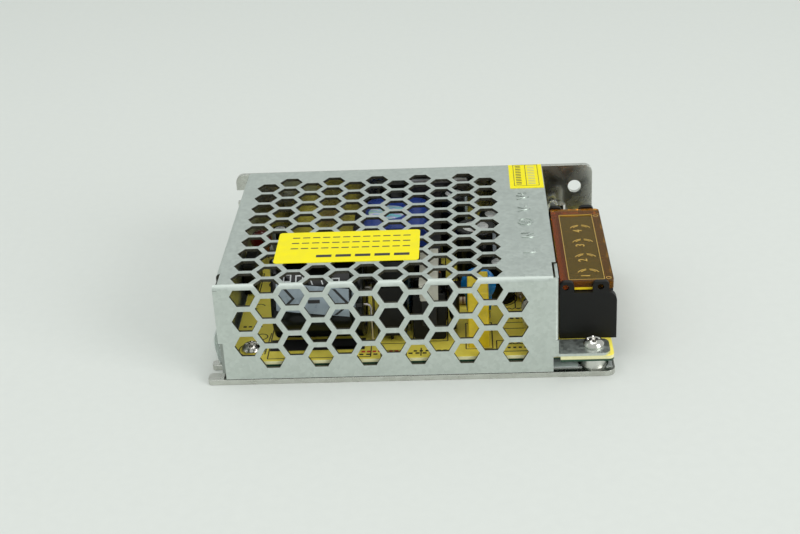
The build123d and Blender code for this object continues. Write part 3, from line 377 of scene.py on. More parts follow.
def make_board():
    finish = start_finish("printed_laminate", (0.6, 0.5, 0.09), 0.45)
    height = coordinate(finish, "Z")
    cloud = noise(finish, 0.25, detail=4)
    top = blend(finish, level(finish, cloud, 0, 1), (0.93, 0.78, 0.1), (0.98, 0.84, 0.13))
    on_top = level(finish, height, 0, 1, (board_top - 0.03, board_top - 0.02))
    below = level(finish, height, 1, 0, (board_low[2] + 0.02, board_low[2] + 0.03))
    weave = level(finish, noise(finish, 1.2, stretch=(1, 1, 5)), 0, 1)
    core = blend(finish, weave, (0.68, 0.65, 0.34), (0.8, 0.78, 0.48))
    # Painted shade: the lowest part of the cut edge is painted the lacquer's dark green.
    edge_shade_band = level(finish, height, 1, 0, (board_low[2] + 0.55, board_low[2] + 0.65))
    edge = blend(finish, edge_shade_band, core, LACQUER)
    tone = blend(finish, below, blend(finish, on_top, edge, top), LACQUER)
    return dress(finish, tone, level(finish, cloud, 0.38, 0.55), noise(finish, 3), 0.004)


board_finish = make_board()
print("board from", np.round(board_low, 1), "to", np.round(board_high, 1))

# %% [markdown]
# Everything that is moulded, dipped, ground, plated or wound gets its own finish from the
# same small recipe, with its real colour and gloss. Clear films keep a little transmission.

# %% The other finishes
finishes = {
    "base_aluminium": aluminium,
    "cover_steel": galvanised,
    "board_laminate": board_finish,
    "clear_film": plain_finish(
        "clear_film", (0.9, 0.95, 0.92), 0.12, drift=0.03, Transmission_Weight=0.55, IOR=1.25
    ),
    "bright_steel": plain_finish("plated_steel", (0.66, 0.64, 0.6), 0.16, metallic=1.0),
    "tinned_metal": plain_finish("tinned_metal", (0.62, 0.62, 0.6), 0.28, metallic=1.0),
    "spring_steel": plain_finish("spring_steel", (0.3, 0.28, 0.27), 0.4, metallic=1.0),
    "black_moulding": plain_finish(
        "black_moulding", (0.004, 0.0042, 0.0038), 0.5, depth=0.012, Specular_IOR_Level=0.28
    ),
    "white_moulding": plain_finish("white_moulding", (0.72, 0.71, 0.66), 0.45),
    "blue_moulding": plain_finish("blue_moulding", (0.03, 0.09, 0.3), 0.4),
    "can_sleeve": plain_finish(
        "shrunk_sleeve", (0.004, 0.005, 0.004), 0.22, grain=1.5, Specular_IOR_Level=0.22
    ),
    "blue_tape": plain_finish("blue_tape", (0.02, 0.05, 0.27), 0.3, grain=1.2, depth=0.02),
    "ferrite": plain_finish(
        "ferrite", (0.016, 0.016, 0.015), 0.5, depth=0.015, Specular_IOR_Level=0.3
    ),
    "copper_wire": plain_finish("enamelled_copper", (0.72, 0.3, 0.12), 0.25, metallic=1.0),
    "pale_tape": plain_finish("paper_tape", (0.56, 0.55, 0.47), 0.6),
    "yellow_box": plain_finish("yellow_box", (0.78, 0.58, 0.02), 0.35),
    "black_epoxy": plain_finish(
        "black_epoxy", (0.007, 0.007, 0.006), 0.4, depth=0.01, Specular_IOR_Level=0.25
    ),
    "teal_coating": plain_finish("teal_coating", (0.001, 0.016, 0.027), 0.25, Coat_Weight=0.1),
    "blue_coating": plain_finish("blue_coating", (0.01, 0.22, 0.6), 0.25, Coat_Weight=0.4),
    "red_coating": plain_finish("red_coating", (0.1, 0.008, 0.008), 0.2, Coat_Weight=0.6),
    "tan_coating": plain_finish("tan_coating", (0.5, 0.4, 0.24), 0.35, Coat_Weight=0.3),
    "grey_pad": plain_finish("grey_pad", (0.17, 0.17, 0.16), 0.7),
    "yellow_label": plain_finish(
        "yellow_label", (0.86, 0.75, 0.005), 0.55, drift=0.03, Specular_IOR_Level=0.25
    ),
    "lamp_lens": plain_finish(
        "lamp_lens", (0.95, 0.97, 0.95), 0.06, drift=0.02, Transmission_Weight=0.9, IOR=1.5
    ),
}
black_ink = plain_finish("black_ink", (0.02, 0.02, 0.02), 0.5)
grey_ink = plain_finish("grey_ink", (0.3, 0.34, 0.36), 0.4)
red_ink = plain_finish("red_ink", (0.6, 0.05, 0.03), 0.5)
print("finishes", len(finishes))

# %% [markdown]
# The flip cover is tinted, see-through plastic. Its thin middle panel is painted olive, a
# painted shade of the dark block under it, while the rim is painted bright amber, a painted glow
# of light through thick plastic. Both are one moulding, so one material reads the place on the
# piece and moves from the panel's tint to the rim's.

# %% Amber plastic
def make_amber():
    """Amber whose tint is a product of four steps, one at each side of the thin panel."""
    clear = {"Transmission_Weight": 0.85, "IOR": 1.2, "Specular_IOR_Level": 0.2}
    finish = start_finish("amber_plastic", (0.9, 0.4, 0.06), 0.1, **clear)
    across, along = coordinate(finish, "X"), coordinate(finish, "Y")
    left_wall = level(finish, across, 1, 0, (41.6, 42.6))
    rear_wall = level(finish, along, 0, 1, (17.2, 18.4))
    rim = level(finish, across, 0, 1, (42, 52))
    # Painted light: the rim and walls are brighter amber, standing for light through thick plastic.
    rim = blend(finish, rim, (0.5, 0.12, 0.006), (0.42, 0.2, 0.02))
    rim = blend(finish, left_wall, rim, (0.85, 0.2, 0.004))
    rim = blend(finish, rear_wall, rim, (0.95, 0.42, 0.03))
    sides = [
        level(finish, across, 0, 1, (43.1, 43.3)),
        level(finish, across, 1, 0, (52.9, 53.1)),
        level(finish, along, 0, 1, (-26.9, -26.7)),
        level(finish, along, 1, 0, (15.3, 15.5)),
    ]
    inside = sides[0]
    for edge in sides[1:]:
        product = add_node(finish, "ShaderNodeMath", {0: inside, 1: edge}, operation="MULTIPLY")
        inside = product.outputs["Value"]
    # Painted shade: the thin panel is olive, standing for the dark block under it.
    tone = blend(finish, inside, rim, (0.44, 0.29, 0.03))
    return dress(finish, tone, None, noise(finish, 0.8), 0.01)


finishes["amber_plastic"] = make_amber()
for subpart in frame["record"]["subparts"]:
    mesh = nodes[subpart["node"]].data
    mesh.materials.clear()
    mesh.materials.append(finishes[subpart["material_slot"]])

def place(piece, slot, finish=None, body="case", stands_for=()):
    """Gives a piece the finish of its record slot or one of its own, hangs it on the body that it
    rides and hides the nodes that it stands for."""
    piece.data.materials.clear()
    piece.data.materials.append(finish or finishes[slot])
    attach(piece, body)
    if stands_for:
        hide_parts(*stands_for)
    return piece


slot_of = {row["node"]: row["material_slot"] for row in frame["record"]["subparts"]}
print("slots in use", len(set(slot_of.values())))

# %% [markdown]
# Real sheet and mouldings have no razor edges: a punched hole has a rolled-over rim and a
# moulding has a small radius, and both catch a line of light. A copy of the CAD mesh, merged
# and freed of its flat triangles, takes a live Bevel modifier and stands for the node.

# %% A rounded copy of a crisp node
CREASE = math.radians(30)
FLAT = math.radians(0.4)


def softened(node, width):
    """A copy of a node's mesh whose creases get a rounding of the width in millimetres."""
    mesh = nodes[node].data.copy()
    build = bmesh.new()
    build.from_mesh(mesh)
    bmesh.ops.remove_doubles(build, verts=build.verts, dist=MERGE_DISTANCE)
    bmesh.ops.dissolve_limit(build, angle_limit=FLAT, verts=build.verts, edges=build.edges)
    build.to_mesh(mesh)
    build.free()
    if mesh.has_custom_normals:
        mesh.normals_split_custom_set([(0, 0, 0)] * len(mesh.loops))
    mesh.shade_smooth()
    mesh.set_sharp_from_angle(angle=CREASE)
    piece = new_object(node + "_soft", mesh)
    rounding = piece.modifiers.new("rounding", "BEVEL")
    rounding.width = width * MM
    rounding.segments = 2
    rounding.limit_method = "ANGLE"
    rounding.angle_limit = CREASE
    return place(piece, slot_of[node], stands_for=(node,))


# %% [markdown]
# The galvanised finish has to know which faces are cut edges. The direction of a face tells,
# so it is worked out for all faces at once and stored in the mesh as a face attribute.

# %% Marking the cut edges
SHEET, BEND_RADIUS = 0.8, 1.3


def mark_cut_edges(mesh):
    """1 on the walls left by the punch and the shears, 0 elsewhere, stored for each face under the
    name that the galvanised finish reads. The sheet's own direction is up on the top, forwards on
    the side wall, leftwards on the end wall and along the radius on the bends between them; a
    face is a cut edge where its normal is square to that direction."""
    count = len(mesh.polygons)
    centre, normal = np.zeros(count * 3), np.zeros(count * 3)
    mesh.polygons.foreach_get("center", centre)
    mesh.polygons.foreach_get("normal", normal)
    centre, normal = centre.reshape(-1, 3) / MM, normal.reshape(-1, 3)
    low_inside, high_inside = cover_low + BEND_RADIUS, cover_high - BEND_RADIUS
    outwards = np.minimum(centre - low_inside, 0) * (1, 1, 0)
    outwards += np.maximum(centre - high_inside, 0) * (0, 0, 1)
    reach = np.linalg.norm(outwards, axis=1)
    facing = np.abs((normal * outwards).sum(axis=1)) / np.maximum(reach, 1e-6)
    cut = (reach > BEND_RADIUS - SHEET) & (facing < 0.5)
    # The cut edges at the front of the end wall take only four tenths of the painted shade.
    end_wall_edge = (centre[:, 0] < cover_low[0] + 1.5) & (centre[:, 1] < -35)
    values = np.where(cut & end_wall_edge, 0.4, cut)
    flags = mesh.attributes.new("cut_edge", "FLOAT", "FACE")
    flags.data.foreach_set("value", values.astype(np.float32))
    return int(np.count_nonzero(values))


# %% [markdown]
# Each node gets the rounding that its making leaves: a quarter of a millimetre on boxes and
# cores, a tenth on mouldings, and less on thin punched strip.

# %% Rounded copies of the crisp nodes
cover_top = cover_high[2]
soft_edges = {
    "perforated_cover": 0.07,
    "chassis_base": 0.3,
    "terminal_block": 0.15,
    "terminal_clamps": 0.08,
    "terminal_tongues": 0.06,
    "film_capacitor": 0.25,
    "bias_film_capacitor": 0.3,
    "bridge_rectifier": 0.2,
    "transformer_core": 0.25,
    "transformer_bobbin": 0.15,
    "choke_bobbin": 0.1,
    "choke_core": 0.2,
    "switching_transistor": 0.1,
    "output_rectifier": 0.1,
    "device_clip": 0.06,
    "trimmer_body": 0.12,
    "control_chip": 0.08,
    "optocoupler": 0.08,
}
for node, width in soft_edges.items():
    piece = softened(node, width)
    print(piece.name, "faces", len(piece.data.polygons))
    if node == "perforated_cover":
        print("cut edges on the cover", mark_cut_edges(piece.data))

# %% [markdown]
# The insulating film has a paler patch at the front right corner, a painted pool of light in the
# gap under the board where the lamp reaches in. A thin sheet a few hundredths of a millimetre
# thick lies on the film and carries that pale tone.

# %% Painted light on the film under the board
def flat_sheet(x0, x1, y0, y1, low, high):
    """A thin box as four rings along Z: the middle of the foot, foot, top, middle of the top."""
    ring = np.array([(x0, y0), (x1, y0), (x1, y1), (x0, y1)], float)
    rows = np.zeros((4, 4, 3))
    rows[1:3, :, :2] = ring
    rows[[0, 3], :, :2] = ring.mean(axis=0)
    rows[:2, :, 2], rows[2:, :, 2] = low, high
    return rows


film_top = 1.8
strip_rows = flat_sheet(38.6, 45.2, -36.75, -29.5, film_top, film_top + 0.04)
lit_strip = grid_piece("film_dull_strip", [strip_rows])
# Painted light: the strip is opaque and pale, standing for lamp light on the film.
place(lit_strip, "clear_film", plain_finish("film_painted_light", (0.8, 0.95, 0.86), 0.6))
print("dull strip faces", len(lit_strip.data.polygons))

# %% [markdown]
# Two small details of bent sheet. At the front left corner the fold runs on over the relief cut,
# so a short strip carries it to the end wall. The devices' clip is dark spring steel; on its
# rolled nose two near-white strips are a painted highlight. Both are outlines of a bent sheet,
# stretched along X.

# %% Fold at the corner and painted highlight on the clip
def bent_strip(x0, x1, outer, inner):
    """The loop of outer points (Y, Z) and inner points back, run from x0 to x1, ends pulled shut."""
    loop = np.concatenate([np.asarray(outer, float), np.asarray(inner, float)[::-1]])
    rows = np.zeros((4, len(loop), 3))
    rows[:, :, 0] = np.array([x0, x0, x1, x1])[:, None]
    rows[1:3, :, 1:] = loop
    rows[[0, 3], :, 1:] = loop.mean(axis=0)
    return rows


def front_arc(y, z, radius, start, end, count):
    """Points (Y, Z) from the front upwards: y - radius cos a, z + radius sin a."""
    angle = np.radians(np.linspace(start, end, count))
    return np.stack([y - radius * np.cos(angle), z + radius * np.sin(angle)], 1)


fold_centre = (cover_low[1] + BEND_RADIUS, cover_top - BEND_RADIUS)
fold_lines = [
    front_arc(*fold_centre, radius, 0, 80, 9) for radius in (BEND_RADIUS, BEND_RADIUS - SHEET)
]
fold_rows = bent_strip(cover_low[0] + 0.02, -49.75, *fold_lines)
corner_fold = grid_piece("cover_corner_fold", [fold_rows])
place(corner_fold, "cover_steel")
print("corner fold faces", len(corner_fold.data.polygons))

clip_low, clip_high = corners("device_clip")
nose = front_arc(clip_low[1] + 0.62, clip_high[2] - 0.58, 0.6, 20, 100, 7)
highlight_lines = (nose, nose - (-0.05, 0.06))
highlight_grids = [bent_strip(x0, x1, *highlight_lines) for x0, x1 in ((-0.85, 4.9), (12.0, 16.4))]
clip_highlight = grid_piece("device_clip_shine", highlight_grids)
# Painted highlight: the near-white strips stand for glints on the clip's rolled nose.
place(clip_highlight, "spring_steel", plain_finish("painted_highlight_strip", (0.97, 0.97, 0.95), 0.4))
print("clip from", np.round(clip_low, 2), "to", np.round(clip_high, 2))

# %% [markdown]
# Pan-head screws hold the board, the cover's foot and the wires. A head is a low dome, so it is
# a disc of points whose height follows a flattened circle; the cross recess is taken off that
# height along two arms. The shank is turned, its radius rippling once per thread.

# %% Screws with a cross recess
def screw_head(place_xy, seat, radius, height):
    """Polar grid: height h (0.2 + 0.8 root(1 - 0.96 t t)) less a recess that is deepest on two
    crossed arms and runs out towards the rim, closed below by the rim's side and foot."""
    t = np.linspace(0, 1, 26)[:, None]
    angle = np.radians(np.linspace(0, 360, 96, endpoint=False))[None]
    x, y = 0.95 * radius * t * np.cos(angle), 0.95 * radius * t * np.sin(angle)
    dome = height * (0.2 + 0.8 * np.sqrt(1 - 0.96 * t**2)) + 0 * x

    def arm(across, along):
        wall = np.clip(1.6 - np.abs(across) / (0.12 * radius), 0, 1)
        return wall * np.clip((0.66 * radius - np.abs(along)) / (0.3 * radius), 0, 1)

    top = dome - 0.5 * height * np.maximum(arm(x, y), arm(y, x))
    disc = np.stack([x, y, top], -1)
    rim = [(radius * 0.985, 0.3 * height), (radius, 0.22 * height), (radius, 0.08 * height)]
    side = turned(rim + [(radius * 0.96, 0), (0, 0)], steps=96)
    return np.concatenate([disc, side]) + (*place_xy, seat)


THREAD_PITCH, THREAD_DEPTH = 0.5, 0.12


def threaded_shank(place_xy, seat, radius, length):
    """Radius less a saw tooth of the thread's depth at every turn, closed at both ends."""
    height = np.arange(0.1, -length + 0.5, -THREAD_PITCH / 2)
    ridge = radius - THREAD_DEPTH * (np.arange(len(height)) % 2)
    rows = np.stack([ridge, height], 1)
    rows = np.concatenate([[(0, 0.1)], rows, [(radius * 0.7, -length), (0, -length)]])
    return turned(rows, (*place_xy, seat), steps=20)


BOARD_SCREWS = [(-43.4, -31), (-43.4, 31.5), (51.2, 32)]
POLES = [-23.2, -13.7, -4.2, 5.3, 14.8]
screw_sizes = {
    "board_screws": (BOARD_SCREWS, 2.85, 2.2, 1.45, 5.5),
    "cover_screw": ([(49.4, -34.3)], 2.85, 2.2, 1.45, 5.5),
    "terminal_screws": ([(47.5, y) for y in POLES], 2.5, 2.3, 1.4, 4.4),
}
for node, (places, radius, height, shank, length) in screw_sizes.items():
    seat = corners(node)[1][2] - height
    grids = [screw_head(xy, seat, radius, height) for xy in places]
    shanks = [threaded_shank(xy, seat, shank, length) for xy in places]
    heads = grid_piece(node + "_heads", grids)
    place(heads, "bright_steel", stands_for=(node,))
    place(grid_piece(node + "_shanks", shanks), "bright_steel")
    print(node, len(places), "heads of", len(heads.data.polygons) // len(places), "faces")

# %% [markdown]
# Print and marks. Ink is almost flat, so it could be an image on the surface, but thin solid
# strokes stay sharp from any distance and need no picture. A stroke is a straight bar between
# two points; rows of bars, frames and rings are all made of strokes.

# %% Strokes of ink
def strokes(name, rows, width, low, high):
    """Rows of (x0, y0, x1, y1) as thin bars: each end is its point plus and minus half the
    width across the stroke, and the outline runs from the low height to the high one."""
    rows = np.asarray(rows, float)
    start, end = rows[:, :2], rows[:, 2:4]
    run = end - start
    run /= np.linalg.norm(run, axis=1, keepdims=True)
    half = np.stack([-run[:, 1], run[:, 0]], 1) * np.broadcast_to(width, len(rows))[:, None] / 2
    outline = np.stack([start - half, end - half, end + half, start + half], 1)
    flat = np.zeros((len(rows), 8, 3))
    flat[:, :4, :2], flat[:, 4:, :2] = outline, outline
    flat[:, :4, 2], flat[:, 4:, 2] = low, high
    sides = [[0, 3, 2, 1], [4, 5, 6, 7], [0, 1, 5, 4], [1, 2, 6, 5], [2, 3, 7, 6], [3, 0, 4, 7]]
    faces = np.array(sides)[None] + 8 * np.arange(len(rows))[:, None, None]
    return mesh_piece(name, flat.reshape(-1, 3), faces.reshape(-1, 4))


def frame_rows(x0, y0, x1, y1):
    return [(x0, y0, x1, y0), (x1, y0, x1, y1), (x1, y1, x0, y1), (x0, y1, x0, y0)]


def ring_rows(x, y, radius, start=0, sweep=360, count=20):
    """Chords of a circle: x + radius cos a, y + radius sin a."""
    angle = np.radians(start + np.linspace(0, sweep, count + 1))
    ring = np.stack([x + radius * np.cos(angle), y + radius * np.sin(angle)], 1)
    return np.concatenate([ring[:-1], ring[1:]], 1).tolist()


INK = 0.02
label_top = corners("cover_label")[1][2]


def printed(name, rows, width, base, ink=black_ink, slot="black_epoxy"):
    """Strokes of ink that stand on the base height."""
    return place(strokes(name, rows, width, base, base + INK), slot, ink)


def bar_row(x, y, count, length, gap):
    """Bars side by side, counted leftwards from X."""
    ends = [x - step * (length + gap) for step in range(count)]
    return [(end - length, y, end, y) for end in ends]


# %% [markdown]
# Both labels are thin films. The large one carries rows of plain bars, the small one a frame.

# %% Print on the two labels
# The large label: one bold row and three fine rows of plain bars
bold = bar_row(0.6, -22.6, 5, 4.2, 1.1)
fine = [bar for y in (-17.6, -14.2, -10.8) for bar in bar_row(0.6, y, 12, 2.0, 0.8)]
printed("label_bold_bars", bold, 1.5, label_top)
printed("label_fine_bars", fine, 0.55, label_top)

# The corner label: a ruled frame in two columns with short ticks, the right ones paler
corner_rows = frame_rows(30.7, 21.35, 38.0, 37.3) + [(34.3, 21.35, 34.3, 37.3)]
tick_rows = np.arange(22.6, 36.6, 1.25)
printed("corner_label_frame", corner_rows, 0.16, label_top)
printed("corner_label_ticks", [(31.3, y, 32.9, y) for y in tick_rows], 0.5, label_top)
pale_ticks = [(34.9, y, 37.0, y) for y in tick_rows]
printed("corner_label_pale_ticks", pale_ticks, 0.3, label_top, grey_ink)
print("label strokes", len(bold) + len(fine), "corner ticks", 2 * len(tick_rows))

# %% [markdown]
# The terminals are named by marks pressed into the cover: line, neutral, earth and the two
# outputs. They read from the terminal side, so the text is turned a quarter. Text starts as a
# curve object; it is given thickness and a tiny bevel, turned into a mesh, and only then put
# in place, so that its object stays at the origin.

# %% Pressed terminal marks
def text_mesh(name, text, size, centre, thickness, bevel):
    """Text as a mesh, its middle at the centre, turned a quarter about Z, as thick as given."""
    curve = bpy.data.curves.new(name, "FONT")
    curve.body, curve.size = text, size * MM
    curve.align_x, curve.align_y = "CENTER", "CENTER"
    curve.extrude, curve.bevel_depth = thickness * MM / 2, bevel * MM
    curve.resolution_u = 4
    holder = new_object(name, curve)
    depsgraph = bpy.context.evaluated_depsgraph_get()
    mesh = bpy.data.meshes.new_from_object(holder.evaluated_get(depsgraph))
    bpy.data.objects.remove(holder)
    quarter = Matrix.Rotation(math.radians(90), 4, "Z")
    mesh.transform(Matrix.Translation([value * MM for value in centre]) @ quarter)
    merge_and_turn(mesh)
    mesh.materials.clear()
    return new_object(name, mesh)


def joined(name, pieces):
    """Several mesh objects as one, still at the origin."""
    build = bmesh.new()
    for piece in pieces:
        build.from_mesh(piece.data)
        bpy.data.objects.remove(piece)
    mesh = bpy.data.meshes.new(name)
    build.to_mesh(mesh)
    build.free()
    return new_object(name, mesh)


mark_places = [("L", 33.1, -23.0), ("N", 33.2, -12.7), ("V-", 32.9, 5.6), ("V+", 32.9, 14.7)]
marks = [
    text_mesh("mark", text, 5.0, (x, y, cover_top + 0.02), 0.28, 0.07)
    for text, x, y in mark_places
]
earth_x, earth_y = 32.7, -3.9
earth_rows = ring_rows(earth_x, earth_y, 2.0, count=28)
earth_rows += [(earth_x - 1.3, earth_y, earth_x - 0.1, earth_y)]
for step, reach in ((0.0, 1.1), (0.55, 0.7), (1.1, 0.35)):
    earth_rows += [(earth_x + step, earth_y - reach, earth_x + step, earth_y + reach)]
earth = strokes("mark", earth_rows, 0.36, cover_top - 0.05, cover_top + 0.2)
terminal_marks = joined("pressed_terminal_marks", marks + [earth])
place(terminal_marks, "cover_steel")
print("pressed marks", len(terminal_marks.data.polygons), "faces")

# %% [markdown]
# The board's print: part outlines and a ring round each screw. The black field under the large
# capacitor is a painted shadow. Strokes lie a hundredth of a millimetre over the laminate.

# %% Board print
print_rows = []
for x, y in BOARD_SCREWS:
    print_rows += ring_rows(x, y, 3.6) + ring_rows(x, y, 4.2, 200, 120)
outlines = [(-38.6, -36.4, -10.6, -10.2), (15.2, -33.6, 22.4, -19.2), (-9.0, -29.6, -1.2, -9.4)]
outlines += [(0.8, -28.8, 10.2, -8.4), (26.8, -31.4, 39.0, -28.6), (-19.0, 1.4, 9.4, 32.6)]
outlines += [(-33.4, 4.8, -22.6, 13.4), (-33.4, 18.4, -22.6, 21.6), (-33.4, 24.4, -22.6, 27.6)]
outlines += [(23.5, -35.4, 33.0, -29.4), (-7.8, -36.4, -1.8, -33.4), (29.4, -11.0, 36.8, 3.2)]
outlines += [(8.0, -5.0, 16.4, 0.2), (-49.1, 1.6, -45.4, 15.4)]
for outline in outlines:
    print_rows += frame_rows(*outline)

# The upright cans: radius, height and place of each
CANS = {
    "output": [(5.9, 18, 18.7, 6.4), (5, 16, 24.9, 19.3), (4, 20, 12.5, 26.4), (4, 12, 25.5, -5)],
    "bias": [(2.5, 11, -40.8, 24), (2.5, 8, -40, 8)],
}
can_places = [(radius, x, y) for radius, _, x, y in CANS["output"] + CANS["bias"]]
for radius, x, y in can_places:
    print_rows += ring_rows(x, y, radius + 0.5)
print_rows += ring_rows(33.2, 9.6, 6.6) + ring_rows(-41.5, -24, 1.6)
zigzag = np.array([(25 + 0.9 * k, -31.6 + 0.9 * (k % 2)) for k in range(7)])
for points in (zigzag, zigzag + (1.6, 20.0)):
    print_rows += np.concatenate([points[:-1], points[1:]], 1).tolist()
print_rows += frame_rows(25.4, -22.8, 31.6, -19.4) + ring_rows(-44.2, -6.0, 1.5, 20, 230, 12)
print_rows += [(-39.6, -33.8, -39.0, -22.0), (-1, -36.6, -1, -33.6), (3, -36.6, 3, -32.4)]
printed("board_outlines", print_rows, 0.3, board_top)

# Painted shadow: black strokes on the board under the front of the large capacitor.
shadow_fields = [(-38.4, -29.2, -12.4, -29.2), (-20.4, -31.0, -13.0, -31.0)]
painted_shadow = strokes("board_fields", shadow_fields, [6.2, 1.2], board_top, board_top + INK * 0.7)
place(painted_shadow, "black_epoxy", black_ink)


def mark_row(start, end, y, length, pitch):
    """Short marks of one length along X, from start to just before end, a pitch apart."""
    return [(x, y, x + length, y) for x in np.arange(start, end, pitch)]


row_marks = mark_row(-17.5, 8.5, -35.2, 1.1, 1.9) + mark_row(1.0, 10.5, -34.0, 0.9, 1.6)
row_marks += mark_row(26.4, 37.0, -33.4, 0.8, 1.5) + mark_row(-47.5, -41.5, -18.0, 0.9, 1.5)
row_marks += mark_row(26.0, 31.0, -17.0, 1.0, 1.6)
printed("board_part_marks", row_marks, 0.75, board_top)
red_rows = mark_row(-13.2, -1.5, -33.7, 1.0, 1.5)
printed("board_red_marks", red_rows, 0.9, board_top, red_ink, "red_coating")
print("board strokes", len(print_rows) + len(row_marks))

# %% [markdown]
# The storage capacitor is an aluminium can in a shrunk black sleeve. A cylinder would miss its
# rolled groove and its curled end, so the whole outline is turned as one profile.

# %% Main storage capacitor
can_low, can_high = corners("main_capacitor")
can_mid = (can_low + can_high) / 2
can_radius = (can_high[2] - can_low[2]) / 2
can_axis = (0.0, can_mid[1], can_low[2] + can_radius)


def can_profile(left, right, radius, lift=0.0):
    """(radius, place along X): closed left end, straight wall, rolled groove, curled right end."""
    t = np.linspace(-1, 1, 15)
    quarter = np.pi / 2 * np.linspace(0, 1, 9)
    left_curl = [radius - 1 + np.sin(quarter), left + 1 - np.cos(quarter)]
    groove = [radius - 0.35 * (1 + np.cos(np.pi * t)), right - 2.8 + np.linspace(-0.9, 0.9, 15)]
    right_curl = [radius - 0.9 + 0.9 * np.cos(quarter), right - 0.9 + 0.9 * np.sin(quarter)]
    rows = np.concatenate([left_curl, groove, right_curl], 1).T
    return rows + np.array([lift, 0])


can_end = can_high[0]
sleeve_rows = can_profile(can_low[0], can_end, can_radius)
sleeve_end = [(can_radius - 2.4, can_end - 0.1), (can_radius - 2.5, can_end - 0.7), (0, can_end - 0.7)]
sleeve_rows = np.concatenate([[(0, can_low[0])], sleeve_rows, sleeve_end])
main_can = grid_piece("main_capacitor_can", [turned(sleeve_rows, can_axis, axis=0, steps=96)])
place(main_can, "can_sleeve", stands_for=("main_capacitor",))
print("main can radius", round(can_radius, 2), "mm")

# %% [markdown]
# The grey stripe on the minus side is a patch of the same turned profile, lifted by a hair, so
# that it follows the can exactly. The sleeve twisted as it shrank, and the stripe with it.

# %% Polarity stripe
STRIPE_MIDDLE, STRIPE_HALF, STRIPE_TWIST = 157.0, 20.0, 0.6
wall_radius, wall_x = can_profile(can_low[0] + 0.6, can_end - 0.2, can_radius, lift=0.03)[8:24].T
stripe_x = np.linspace(wall_x[0], wall_x[-1], 90)
stripe_rows = np.stack([np.interp(stripe_x, wall_x, wall_radius), stripe_x], 1)


def twisted_patch(rows, half):
    """Sleeve points at radius r and place x along the can; the angle is the stripe's middle, plus
    the sleeve's twist times the distance from X -25, plus a step across the stripe."""
    radius, x = rows[:, :1], rows[:, 1:]
    middle = STRIPE_MIDDLE + STRIPE_TWIST * (x + 25)
    angle = np.radians(middle + np.linspace(-half, half, 24)[None])
    y, z = radius * np.cos(angle), radius * np.sin(angle)
    return np.stack([x + 0 * y, can_axis[1] + y, can_axis[2] + z], -1)


stripe = grid_piece("capacitor_stripe", [twisted_patch(stripe_rows, STRIPE_HALF)], closed=False)
grey_sleeve = plain_finish("grey_sleeve", (0.3, 0.36, 0.4), 0.3, grain=1.5)
place(stripe, "can_sleeve", grey_sleeve)
print("stripe faces", len(stripe.data.polygons))

# %% [markdown]
# The marks on the sleeve are plain bars, each a patch between two places along the can and two
# angles about it, so that they bend with the surface.

# %% Marks on the sleeve
def can_patch(x0, x1, a0, a1, slant=0.0):
    """A patch just off the sleeve, between two places along X and two angles about the can's
    axis, its far edge moved by slant."""
    s, t = np.meshgrid(np.linspace(0, 1, 6), np.linspace(0, 1, 10), indexing="ij")
    angle, reach = np.radians(a0 + (a1 - a0) * t), can_radius + 0.06
    y, z = can_axis[1] + reach * np.cos(angle), can_axis[2] + reach * np.sin(angle)
    return np.stack([x0 + (x1 - x0) * s + slant * t, y, z], -1)


stripe_marks = [can_patch(-35.1, -34.2, 131, 154, 3.9), can_patch(-31.2, -30.3, 154, 171, -3.5)]
stripe_marks += [can_patch(-20.3, -19.4, 142, 164, 4.0), can_patch(-16.3, -15.4, 164, 179.5, -3.7)]
stripe_marks += [can_patch(-26.8, -23.6, 156.5, 161.5), can_patch(-13.8, -12.3, 163, 168)]
mark_piece = grid_piece("capacitor_stripe_marks", stripe_marks, closed=False)
place(mark_piece, "black_epoxy", black_ink)

light_marks = []
for x in (-33.5, -30.2, -20.4):
    for a0, a1, b0, b1 in ((0, 2, 0, 2.2), (11, 13, 0, 2.2), (0, 13, 0, 0.35), (0, 13, 1.85, 2.2)):
        low_angle = 118 + STRIPE_TWIST * (x + 33)
        light_marks.append(can_patch(x + b0, x + b1, low_angle + a0, low_angle + a1))
for x in (-26.6, -23.8):
    light_marks.append(can_patch(x, x + 0.35, 122, 135, 0.9))
light_piece = grid_piece("capacitor_light_marks", light_marks, closed=False)
place(light_piece, "can_sleeve", plain_finish("light_ink", (0.6, 0.62, 0.62), 0.45))
print("marks on the sleeve", len(stripe_marks) + len(light_marks))

# %% [markdown]
# The can's right end shows its rubber seal, from which two bright leads turn down through the
# board. A lead is one wire along a straight, a quarter of a circle and a straight.

# %% Seal and leads
seal_rows = [(0, can_end - 0.69), (can_radius - 2.5, can_end - 0.69)]
seal_rows += [(can_radius - 2.6, can_end - 0.5), (0, can_end - 0.45)]
seal = grid_piece("capacitor_seal", [turned(seal_rows, can_axis, 0, 64)])
place(seal, "black_epoxy")

lead_low, lead_high = corners("capacitor_leads")
lead_mid = (lead_low + lead_high) / 2
bend = np.radians(np.linspace(90, 0, 9))
lead_x, lead_z = lead_high[0] - 0.45, lead_high[2] - 0.45
arc_x, arc_z = lead_x - 1.2 + 1.2 * np.cos(bend), lead_z - 1.2 + 1.2 * np.sin(bend)
lead_bend = np.stack([arc_x, np.zeros(9), arc_z], 1)
lead_start, lead_foot = [(can_end - 0.8, 0, lead_z)], [(lead_x, 0, board_top - 2.6)]
lead_path = np.concatenate([lead_start, lead_bend, lead_foot])
lead_rows = [lead_mid[1] - 5, lead_mid[1] + 5]
lead_grids = [wire(lead_path + (0, y, 0), 0.33, (0, 1, 0), 12) for y in lead_rows]
leads = grid_piece("capacitor_lead_wires", lead_grids)
bright_lead = plain_finish("bright_lead", (0.86, 0.8, 0.78), 0.3, metallic=0.9)
place(leads, "tinned_metal", bright_lead, stands_for=("capacitor_leads",))
print("leads at X", round(lead_x, 2), "and Y", np.round(lead_rows, 1))

# %% [markdown]
# The upright cans are the same build on a smaller scale: a black sleeve curled over the rim,
# a bare aluminium top scored with a cross, and a grey stripe down the minus side.

